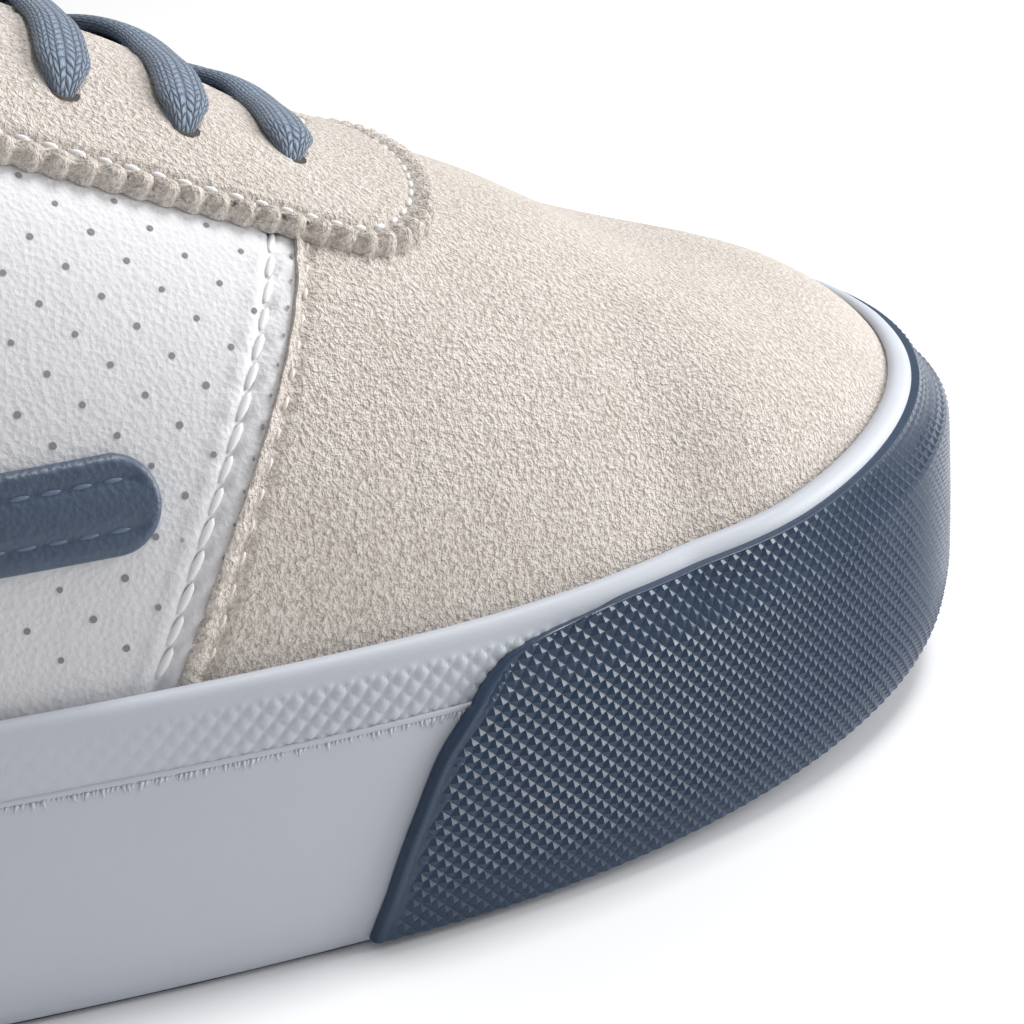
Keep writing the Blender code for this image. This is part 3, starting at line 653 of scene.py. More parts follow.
@dataclass(frozen=True)
class Finish:
    """A material on a Principled shader."""

    name: str = "plain"
    colour: str = "#cccccc"
    roughness: float = 0.5

    def start(self, **extra: float) -> tuple[bpy.types.Material, bpy.types.NodeTree, bpy.types.Node]:
        """A new material, its tree and its shader, with more of the shader's inputs by name.

        Args:
            extra: Values by input name.

        Returns:
            The material, its tree and its shader.
        """
        made = bpy.data.materials.new(self.name)
        made.use_nodes = True
        shader = made.node_tree.nodes["Principled BSDF"]
        shader.inputs["Base Color"].default_value = linear(self.colour)
        shader.inputs["Roughness"].default_value = self.roughness
        for name, value in extra.items():
            shader.inputs[name.replace("_", " ")].default_value = value
        return made, made.node_tree, shader

    def cover(self, made: bpy.types.Material, shader: bpy.types.Node, colour: bpy.types.NodeSocket,
              height: bpy.types.NodeSocket, depth: float) -> bpy.types.Material:
        """Feeds the shader with a colour and the bumps of a height of so many metres.

        Args:
            made: The material.
            shader: Its shader.
            colour: The colour.
            height: The height that makes the bumps.
            depth: The bumps' full depth in metres.

        Returns:
            The same material.
        """
        relief = add_node(made.node_tree, "ShaderNodeBump", None, {
            "Height": height, "Strength": 1.0, "Distance": depth})
        made.node_tree.links.new(colour, shader.inputs["Base Color"])
        made.node_tree.links.new(relief.outputs["Normal"], shader.inputs["Normal"])
        return made

    def build(self) -> bpy.types.Material:
        """The finished material."""
        return self.start()[0]


@dataclass(frozen=True)
class Suede(Finish):
    """Split cowhide, buffed to a nap: matte, with short clumped fibres that catch the light, painted lighter
    on their tops and darker in the pits.
    """

    # low is painted shade in the nap's pits and high a painted highlight on its raised tops; random cloud
    # tone also moves between them
    low: str = "#b9ada3"
    high: str = "#ece4dc"
    clump: float = 0.52 * MM
    fibre: float = 0.18 * MM
    cloud: float = 11.0 * MM
    depth: float = 0.32 * MM
    sheen: float = 0.18
    fibre_share: float = 0.70
    cloud_share: float = 0.45
    crisp: tuple = (0.30, 0.70)
    tones: tuple = (0.35, 1.45)
    scuff: str = "#6f6760"
    marks: tuple = ((82.5, -13.1, 60.8, 0.75), (83.0, -13.5, 60.6, 0.5))

    def build(self) -> bpy.types.Material:
        """The napped suede.

        Returns:
            The material.
        """
        made, tree, shader = self.start(
            Specular_IOR_Level=0.12, Sheen_Weight=self.sheen, Sheen_Roughness=0.45)
        at = add_node(tree, "ShaderNodeTexCoord").outputs["Object"]
        clump = add_node(tree, "ShaderNodeTexNoise", None, {
            "Vector": at, "Scale": 1.0 / self.clump, "Detail": 2.0, "Roughness": 0.55})
        fibre = add_node(tree, "ShaderNodeTexNoise", None, {
            "Vector": at, "Scale": 1.0 / self.fibre, "Detail": 2.0, "Roughness": 0.6})
        cloud = add_node(tree, "ShaderNodeTexNoise", None, {
            "Vector": at, "Scale": 1.0 / self.cloud, "Detail": 4.0, "Roughness": 0.55})
        crisp = add_node(tree, "ShaderNodeMapRange", None, {
            "Value": clump.outputs["Fac"], "From Min": self.crisp[0], "From Max": self.crisp[1]})
        height = add_node(tree, "ShaderNodeMath", {"operation": "MULTIPLY_ADD"}, {
            0: fibre.outputs["Fac"], 1: self.fibre_share, 2: crisp.outputs[0]})
        # painted light: the colour follows the nap's bump height, lighter on raised clumps and fibres and
        # darker in pits, plus random cloud tone
        tone_with_painted_light = add_node(tree, "ShaderNodeMath", {"operation": "MULTIPLY_ADD"}, {
            0: cloud.outputs["Fac"], 1: self.cloud_share, 2: height.outputs[0]})
        ramp = add_node(tree, "ShaderNodeMapRange", None, {
            "Value": tone_with_painted_light.outputs[0], "From Min": self.tones[0], "From Max": self.tones[1]})
        mixed = add_node(tree, "ShaderNodeMix", {"data_type": "RGBA"}, {
            "Factor": ramp.outputs[0], "A": linear(self.low), "B": linear(self.high)})
        colour = smudge(tree, at, mixed.outputs["Result"], self.marks, self.scuff)
        return self.cover(made, shader, colour, height.outputs[0], self.depth)


@dataclass(frozen=True)
class Leather(Finish):
    """Coated leather, embossed with a fine grain: smooth and softly glossy on its pores."""

    shade: str = "#dcdcdf"
    grain: float = 0.62 * MM
    depth: float = 0.075 * MM
    coat: float = 0.15
    warp: float = 2.4 * MM
    fine_share: float = 0.5
    warp_share: float = 0.55
    dirt: str = "#7d756c"
    marks: tuple = ((36.4, -45.3, 42.5, 0.32), (36.8, -45.2, 43.4, 0.32), (35.0, -43.6, 48.2, 0.3),
                    (36.0, -45.1, 43.6, 0.22))

    def build(self) -> bpy.types.Material:
        """The grained leather.

        Returns:
            The material.
        """
        made, tree, shader = self.start(Coat_Weight=self.coat, Coat_Roughness=0.35)
        at = add_node(tree, "ShaderNodeTexCoord").outputs["Object"]
        warp = add_node(tree, "ShaderNodeTexNoise", None, {
            "Vector": at, "Scale": 1.0 / self.warp, "Detail": 4.0, "Roughness": 0.6})
        pores = add_node(tree, "ShaderNodeTexVoronoi", {"feature": "SMOOTH_F1"}, {
            "Vector": at, "Scale": 1.0 / self.grain, "Smoothness": 0.35})
        fine = add_node(tree, "ShaderNodeTexNoise", None, {
            "Vector": at, "Scale": 3.0 / self.grain, "Detail": 2.0})
        height = add_node(tree, "ShaderNodeMath", {"operation": "MULTIPLY_ADD"}, {
            0: fine.outputs["Fac"], 1: self.fine_share, 2: pores.outputs["Distance"]})
        total = add_node(tree, "ShaderNodeMath", {"operation": "MULTIPLY_ADD"}, {
            0: warp.outputs["Fac"], 1: self.warp_share, 2: height.outputs[0]})
        mixed = add_node(tree, "ShaderNodeMix", {"data_type": "RGBA"}, {
            "Factor": warp.outputs["Fac"], "A": linear(self.shade), "B": linear(self.colour)})
        colour = smudge(tree, at, mixed.outputs["Result"], self.marks, self.dirt)
        return self.cover(made, shader, colour, total.outputs[0], self.depth)


@dataclass(frozen=True)
class Rubber(Finish):
    """Vulcanised rubber from a mould: even, dense and slightly waxy, with faint cloudy marks."""

    shade: str = "#b9bcc4"
    cloud: float = 7.0 * MM
    pit: float = 0.35 * MM
    depth: float = 0.012 * MM
    gloss: float = 0.5

    def build(self) -> bpy.types.Material:
        """The moulded rubber.

        Returns:
            The material.
        """
        made, tree, shader = self.start(Specular_IOR_Level=self.gloss)
        at = add_node(tree, "ShaderNodeTexCoord").outputs["Object"]
        cloud = add_node(tree, "ShaderNodeTexNoise", None, {
            "Vector": at, "Scale": 1.0 / self.cloud, "Detail": 5.0, "Roughness": 0.62})
        pit = add_node(tree, "ShaderNodeTexNoise", None, {
            "Vector": at, "Scale": 1.0 / self.pit, "Detail": 3.0})
        mixed = add_node(tree, "ShaderNodeMix", {"data_type": "RGBA"}, {
            "Factor": cloud.outputs["Fac"], "A": linear(self.shade), "B": linear(self.colour)})
        rough = add_node(tree, "ShaderNodeMapRange", None, {
            "Value": cloud.outputs["Fac"], "From Min": 0.3, "From Max": 0.7,
            "To Min": self.roughness - 0.05, "To Max": self.roughness + 0.07})
        tree.links.new(rough.outputs[0], shader.inputs["Roughness"])
        return self.cover(made, shader, mixed.outputs["Result"], pit.outputs["Fac"], self.depth)


@dataclass(frozen=True)
class Seam:
    """The slanted seam between the leather quarters and the suede vamp."""

    foot_x: float = 33.5 * MM
    foot_z: float = 30.0 * MM
    lean: float = 0.595
    sag: float = 1.2 * MM
    rise: float = 34.0 * MM
    pitch: float = 3.1 * MM
    leather_row: float = -0.85 * MM
    suede_row: float = 3.1 * MM
    hole_row: float = 1.35 * MM

    def x_at(self, z: Array) -> Array:
        """x of the seam at a height."""
        share = np.clip((z - self.foot_z) / self.rise, 0.0, 1.0)
        return self.foot_x + self.lean * (z - self.foot_z) - self.sag * np.sin(math.pi * share)

    def across(self, x: Array, z: Array) -> Array:
        """Distance in front of the seam, square to it."""
        return (x - self.x_at(z)) / math.hypot(1.0, self.lean)

    def along(self, z: Array) -> Array:
        """Distance up the seam."""
        return (z - self.foot_z) * math.hypot(1.0, self.lean)

    def x_on(self, rise: Array, side: Side) -> Array:
        """x of the seam at a rise of the last.

        Args:
            rise: Shares of the way up to the ridge.
            side: The side of the shoe.

        Returns:
            x of the seam.
        """
        x = np.full(np.shape(rise), self.foot_x)
        for _ in range(12):
            x = self.x_at(LAST.point(LAST.t_at(x, side), rise)[..., 2])
        return x


SEAM = Seam()


@dataclass(frozen=True)
class Vamp:
    """The suede toe box, from seam to seam round the toe."""

    lift: float = 0.35 * MM
    wall: float = 0.9 * MM
    roll: float = 0.50 * MM
    edge_radius: float = 1.2 * MM
    edge_drop: float = 0.45 * MM
    row_depth: float = 0.55 * MM
    pit_depth: float = 0.75 * MM
    middle_steps: int = 90
    toe_steps: int = 170
    rise_steps: int = 118

    def columns(self, rise: Array) -> Array:
        """t of each column at each share of the height, seam to seam.

        Args:
            rise: Shares of the way up to the ridge.

        Returns:
            t of each point of the grid.
        """
        share = np.linspace(0.0, 1.0, self.middle_steps) ** 1.25
        pole = LAST.place(LAST.toe_pole)
        sides = []
        for side in Side:
            start = SEAM.x_on(rise, side)
            x = start[None, :] + (pole - start)[None, :] * share[:, None]
            sides.append(LAST.t_at(x, side))
        first, final = sides[0][-1, 0], sides[1][-1, 0]
        toe = np.linspace(first, final, self.toe_steps)[1:-1, None] * np.ones_like(rise)[None, :]
        return np.concatenate([sides[0], toe, sides[1][::-1]])

    def relief(self, points: Array) -> Array:
        """Height of the suede over its base: the rolled, puffed edge at the seam and its row.

        Args:
            points: The points.

        Returns:
            The heights.
        """
        front = SEAM.across(points[..., 0], points[..., 2])
        wave = np.abs(np.sin(math.pi * SEAM.along(points[..., 2]) / SEAM.pitch))
        edge = rounded(front, self.edge_radius)
        roll = self.roll * (0.15 + 0.85 * wave**0.6) * bump(front, 1.6 * MM, 1.9 * MM)
        row = self.row_depth * bump(front, SEAM.suede_row, 1.1 * MM) * (0.45 + 0.55 * (1.0 - wave))
        pit = self.pit_depth * bump(front, 0.8 * MM, 1.0 * MM) * (1.0 - wave) ** 2
        return (edge - 1.0) * (self.lift + self.edge_drop) + roll - row - pit

    def build(self, suede: bpy.types.Material) -> None:
        """Makes the vamp.

        Args:
            suede: The suede.
        """
        share = np.linspace(0.0, 1.0, self.rise_steps)
        t = self.columns(share)
        rise = share[None, :] * LAST.edge_rise(t)
        base = LAST.skin(t, rise)
        lift = self.lift + self.relief(base)
        sealed = LAST.edge_rise(t[:, -1]) > 0.9999
        outer = LAST.skin(t, rise, lift)
        inner = LAST.skin(t, rise, np.minimum(lift - 0.05 * MM, self.lift - self.wall))
        hand_in(make_shell("vamp", outer, inner, suede, sealed=sealed), "cream_suede")


@dataclass(frozen=True)
class Quarters:
    """The perforated leather quarters, round the heel in one piece."""

    lift: float = 0.25 * MM
    wall: float = 1.2 * MM
    tuck: float = 4.0 * MM
    row_depth: float = 0.20 * MM
    notch: float = 0.55 * MM
    puff: float = 0.22 * MM
    dive: float = 0.6 * MM
    pitch: float = 0.30 * MM
    fine_columns: int = 34
    coarse: int = 5
    rise_steps: int = 125

    def relief(self, points: Array) -> Array:
        """Height of the leather over its base: puckers and notches at its row of stitches.

        Args:
            points: The points.

        Returns:
            The heights.
        """
        back = SEAM.across(points[..., 0], points[..., 2])
        run = SEAM.along(points[..., 2]) / SEAM.pitch
        wave = np.abs(np.sin(math.pi * run))
        row = self.row_depth * bump(back, SEAM.leather_row, 1.0 * MM)
        notch = self.notch * bump(back, SEAM.leather_row + 0.35 * MM, 0.95 * MM) * (1.0 - wave) ** 1.3
        puff = self.puff * bump(back, SEAM.leather_row - 1.5 * MM, 1.3 * MM) * wave
        under = self.dive * smooth((back - 1.6 * MM) / (0.8 * MM))
        return puff - row - notch - under

    def build(self, leather: bpy.types.Material) -> None:
        """Makes the quarters.

        Args:
            leather: The leather.
        """
        share = np.linspace(0.0, 1.0, self.rise_steps)
        first = LAST.t_at(SEAM.x_on(share, Side.MEDIAL) + self.tuck, Side.MEDIAL)
        final = 2.0 + LAST.t_at(SEAM.x_on(share, Side.LATERAL) + self.tuck, Side.LATERAL)
        even = LAST.even_t(first[0], final[0], self.pitch)
        count = len(even)
        middle = np.arange(self.fine_columns, count - self.fine_columns, self.coarse)
        even = even[np.unique(np.concatenate([
            np.arange(self.fine_columns), middle, np.arange(count - self.fine_columns, count)]))]
        along = (even - even[0]) / (even[-1] - even[0])
        t = first[None, :] + (final - first)[None, :] * along[:, None]
        rise = share[None, :] * LAST.edge_rise(t)
        base = LAST.skin(t, rise)
        lift = self.lift + self.relief(base)
        outer = LAST.skin(t, rise, lift)
        inner = LAST.skin(t, rise, np.minimum(lift, 0.0) - self.wall)
        hand_in(make_shell("quarters", outer, inner, leather), "white_leather", "upper")


QUARTERS = Quarters()


@dataclass(frozen=True)
class Eyestay:
    """The suede eyestay, a U round the throat with a scalloped, tufted edge."""

    rear: float = 0.470
    tip: float = 79.0 * MM
    front_length: float = 17.0 * MM
    half_width: float = 30.3 * MM
    rear_half: float = 28.6 * MM
    under: float = 0.50 * MM
    thick: float = 1.45 * MM
    scallop: float = 2.72 * MM
    scallop_depth: float = 0.55 * MM
    crease: float = 0.90 * MM
    tuft: float = 0.55 * MM
    row_depth: float = 0.60 * MM
    inner_row_depth: float = 0.40 * MM
    row: float = 3.0 * MM
    inner_row: float = 2.4 * MM
    inner_half: float = 6.2 * MM
    bulge: float = 1.7 * MM
    bulge_front: float = 60.0 * MM
    bulge_rise: float = 18.0 * MM
    bulge_end: float = 24.0 * MM
    thinner: float = 0.80 * MM
    thinner_front: float = 54.0 * MM
    thinner_rise: float = 12.0 * MM
    swell_half: float = 29.0 * MM
    swell_rise: float = 20.0 * MM
    pitch: float = 0.42 * MM

    def outer_edge(self) -> tuple[Array, Array]:
        """x and signed width of the outer edge, lateral rear round the tip to medial rear.

        Returns:
            x and signed width.
        """
        start, turn = LAST.place(self.rear), self.tip - self.front_length
        side = np.linspace(start, turn, 200)[:-1]
        share = (side - start) / (turn - start)
        width = self.rear_half + (self.half_width - self.rear_half) * smooth(share)
        angle = np.linspace(0.0, RIGHT_ANGLE, 200)
        x = np.concatenate([side, turn + self.front_length * np.sin(angle)])
        width = np.concatenate([width, self.half_width * np.cos(angle)])
        return np.concatenate([x, x[-2::-1]]), np.concatenate([-width, width[-2::-1]])

    def inner_edge(self, count: int) -> tuple[Array, Array]:
        """x and signed width of the throat's edge, in as many points.

        Args:
            count: How many points.

        Returns:
            x and signed width.
        """
        start, turn = LAST.place(self.rear), LAST.place(LAST.throat_front) - LAST.throat_end
        angle = np.linspace(0.0, RIGHT_ANGLE, 60)
        x = np.concatenate([np.linspace(start, turn, 200)[:-1], turn + LAST.throat_end * np.sin(angle)])
        width = np.concatenate([np.full(199, self.inner_half), self.inner_half * np.cos(angle)])
        run = np.concatenate([[0.0], np.cumsum(np.hypot(np.diff(x), np.diff(width)))])
        even = np.linspace(0.0, run[-1], count // 2 + 1)
        x, width = np.interp(even, run, x), np.interp(even, run, width)
        return np.concatenate([x, x[-2::-1]]), np.concatenate([-width, width[-2::-1]])

    def grid(self) -> tuple[Array, Array, Array, Array]:
        """x, width, distance from the outer edge and distance along it, of each point.

        Returns:
            The four grids.
        """
        x, width = self.outer_edge()
        run = distance_along(LAST.plan(x, width))
        count = int(run[-1] / self.pitch) // 2 * 2 + 1
        even = np.linspace(0.0, run[-1], count)
        x, width = np.interp(even, run, x), np.interp(even, run, width)
        inner_x, inner_width = self.inner_edge(count)
        share = np.linspace(-0.06, 1.0, 60)
        ray_x = x[:, None] + (inner_x - x)[:, None] * share[None, :]
        ray_width = width[:, None] + (inner_width - width)[:, None] * share[None, :]
        reach = distance_along(LAST.plan(ray_x, ray_width), 1)
        zero = np.array([np.interp(0.0, share, row) for row in reach])
        reach = reach - zero[:, None]
        fine = np.concatenate([np.linspace(0.0, 5.6 * MM, 19), np.full(19, np.nan)])
        depth = np.empty((count, len(fine)))
        for i in range(count):
            depth[i] = fine
            depth[i, 18:] = np.linspace(fine[18], reach[i, -1], 20)
        wave = np.abs(np.sin(math.pi * even / self.scallop))
        moved = depth - self.scallop_depth * (wave[:, None] - 0.6) * (1.0 - smooth(depth / (2.5 * MM)))
        at = np.array([np.interp(moved[i], reach[i], share) for i in range(count)])
        grid_x = x[:, None] + (inner_x - x)[:, None] * at
        grid_width = width[:, None] + (inner_width - width)[:, None] * at
        return grid_x, grid_width, depth, even[:, None] * np.ones_like(depth)

    def swell(self, x: Array, width: Array) -> Array:
        """What the thickness gains: fuller towards the throat at the rear, thinner in front.

        Args:
            x: x of each point.
            width: Signed distance from the ridge, in plan.

        Returns:
            The gain.
        """
        near = smooth((self.swell_half - np.abs(width)) / self.swell_rise)
        rising = smooth((self.bulge_front - x) / self.bulge_rise)
        ending = smooth((x - LAST.place(self.rear)) / self.bulge_end)
        thinner = self.thinner * smooth((x - self.thinner_front) / self.thinner_rise)
        return near * (self.bulge * rising * ending - thinner)

    def relief(self, depth: Array, run: Array, thick: Array) -> Array:
        """Height over the underside: tufts between the row and the edge, and both rows.

        Args:
            depth: Distance from the outer edge.
            run: Distance along the edge.
            thick: Thickness without tufts and rows.

        Returns:
            The heights.
        """
        wave = np.abs(np.sin(math.pi * run / self.scallop)) ** 0.55
        left = depth[:, -1:] - depth
        crease = self.crease * (1.0 - wave) * (1.0 - smooth((depth - 1.6 * MM) / (1.5 * MM)))
        tuft = self.tuft * bump(depth, 1.3 * MM, 1.5 * MM) * wave
        row = self.row_depth * bump(depth, self.row, 0.85 * MM)
        inner_row = self.inner_row_depth * bump(left, self.inner_row, 0.9 * MM)
        end = rounded(np.minimum(run - run.min(), run.max() - run), 1.2 * MM)
        closed = rounded(depth, MM) * rounded(left, 0.9 * MM) * end
        return (thick + tuft - row - inner_row - crease) * closed + 0.05 * MM

    def stitch_row(self, distance: float, inner: bool) -> tuple[Array, Array, Array]:
        """One row of stitches, a distance from the outer or the inner edge.

        Args:
            distance: Distance from the edge.
            inner: Whether it is the throat's edge.

        Returns:
            Points, directions and normals.
        """
        x, width, depth, _ = self.grid()
        if inner:
            depth = depth[:, -1:] - depth
        order = slice(None, None, -1) if inner else slice(None)
        at = [[np.interp(distance, depth[i, order], values[i, order]) for i in range(len(x))]
              for values in (x, width)]
        px, pw = np.array(at)
        lift = self.under + self.thick + self.swell(px, pw) - 0.42 * MM
        return even_places(*LAST.placed(*LAST.from_above(px, pw), lift), self.scallop)

    def nearest(self, points: Array) -> tuple[Array, Array]:
        """Distance of points from the outer edge and where along it they are nearest.

        Args:
            points: The points.

        Returns:
            The distances and the places.
        """
        edge = LAST.plan(*self.outer_edge())
        run = distance_along(edge)
        gap = np.linalg.norm(points[..., None, :] - edge, axis=-1)
        return gap.min(axis=-1), run[gap.argmin(axis=-1)]

    def build(self, suede: bpy.types.Material) -> None:
        """Makes the eyestay.

        Args:
            suede: The suede.
        """
        x, width, depth, run = self.grid()
        band = slice(0, 26)
        run[:, band] = self.nearest(LAST.plan(x[:, band], width[:, band]))[1]
        swell = self.swell(x, width)
        outer = LAST.plan(x, width, self.under + self.relief(depth, run, self.thick + swell))
        free = smooth((LAST.throat_half + MM - np.abs(width)) / (2.0 * MM))
        inner = LAST.plan(x, width, self.under - 0.15 * MM + swell * free * 0.8)
        hand_in(make_shell("eyestay_suede", outer, inner, suede), "cream_suede", "eyestay")


EYESTAY = Eyestay()


@dataclass(frozen=True)
class Foxing:
    """The white rubber wall round the sole and the strip above it."""

    height: float = 30.0 * MM
    wall: float = 3.2 * MM
    foot: float = 0.5 * MM
    strip: float = 7.0 * MM
    strip_wall: float = 2.8 * MM
    gap: float = 0.3 * MM
    undercut: float = 0.6 * MM
    undercut_height: float = 6.0 * MM
    lean: float = 1.6 * MM
    band: float = 5.5 * MM
    worn: float = 0.10
    worn_end: float = 24.0 * MM
    worn_fade: float = 26.0 * MM
    knurl_pitch: float = 2.15 * MM
    knurl_rows: float = 1.05 * MM
    knurl_depth: float = 0.34 * MM

    def face_depth(self, height: Array | float) -> Array:
        """How far the wall's outer face lies inside the outline at a height."""
        foot = self.undercut * (1.0 - smooth(height / self.undercut_height))
        return foot + self.lean * (height / self.height) ** 2

    def on_outline(self, t: Array, height: Array | float, depth: Array | float) -> Array:
        """A point at a height over the floor line and a depth inside the outline.

        Args:
            t: Places round the last.
            height: Heights over the floor line.
            depth: Distance inwards.

        Returns:
            The points.
        """
        plan = LAST.inset(t, depth)
        z = LAST.floor_line(plan[..., 0]) + height
        return np.concatenate([plan, z[..., None]], axis=-1)

    def on_wall(self, t: Array, height: Array | float, outset: Array | float) -> Array:
        """A point beside the last at a height over the floor line, outset from its skin.

        Args:
            t: Places round the last.
            height: Heights over the floor line.
            outset: Distance out from the last.

        Returns:
            The points.
        """
        z = LAST.floor_line(LAST.outline(t)[..., 0]) + height
        rise = LAST.rise_at_height(t, z)
        flat = unit(LAST.normal(t, rise) * (1.0, 1.0, 0.0))
        moved = LAST.point(t, rise) + flat * np.asarray(outset)[..., None]
        moved[..., 2] = z
        return moved

    def build_wall(self, rubber: bpy.types.Material) -> None:
        """Makes the lower wall, up to the lip.

        Args:
            rubber: The rubber.
        """
        t = LAST.even_t(0.0, 2.0, 1.2 * MM)
        lip = self.height - self.strip
        levels = [self.foot + 0.3 * MM, *np.linspace(2.0 * MM, lip - 1.0 * MM, 12)]
        rings = [self.on_outline(t, self.foot, self.face_depth(self.foot) + 0.30 * MM)]
        rings += [self.on_outline(t, level, self.face_depth(level)) for level in levels]
        for drop, back in ((0.6, -0.04), (0.25, -0.10), (0.06, -0.02), (0.0, 0.2), (0.06, 0.9)):
            rings.append(self.on_outline(t, lip - drop * MM, self.face_depth(lip) + back * MM))
        rings.append(self.on_wall(t, lip, self.gap))
        rings.append(self.on_outline(t, LAST.board, self.wall))
        rings.append(self.on_outline(t, self.foot, self.wall))
        hand_in(make_hoop("foxing_wall_rubber", rings, rubber), "white_rubber", "foxing_wall")

    def build_strip(self, rubber: bpy.types.Material) -> None:
        """Makes the strip, with its rolled rim and its band of low diamonds.

        Args:
            rubber: The rubber.
        """
        t = LAST.even_t(0.0, 2.0, self.knurl_pitch / 7.0)
        run = distance_along(LAST.outline(t))
        x = LAST.outline(t)[:, 0]
        bottom, top = self.height - self.strip - 0.4 * MM, self.height
        worn = self.worn + (1.0 - self.worn) * smooth((x - self.worn_end) / self.worn_fade)
        rings = [self.on_wall(t, bottom, self.gap), self.on_wall(t, bottom, self.strip_wall - 0.15 * MM)]
        for level in np.arange(bottom + 0.1 * MM, top - 1.1 * MM, self.knurl_rows / 4.0):
            a, b = run / self.knurl_pitch, (level - bottom - 0.1 * MM) / (2.0 * self.knurl_rows)
            wave = zigzag(a + b), zigzag(a - b)
            shown = smooth((bottom + self.band - level) / (0.9 * MM)) * smooth((level - bottom) / (0.5 * MM))
            stud = np.clip(np.minimum(*wave) * 2.0, 0.0, 1.0) * worn * shown
            rings.append(self.on_wall(t, level, self.strip_wall + self.knurl_depth * stud))
        for drop, back in ((0.75, 0.03), (0.4, 0.22), (0.12, 0.55), (0.0, 0.95), (0.05, 1.4), (0.3, 1.9)):
            rings.append(self.on_wall(t, top - drop * MM, self.strip_wall - back * MM))
        rings.append(self.on_wall(t, top - 1.0 * MM, self.gap))
        hand_in(make_hoop("foxing_strip_rubber", rings, rubber), "white_rubber", "foxing_strip")


FOXING = Foxing()


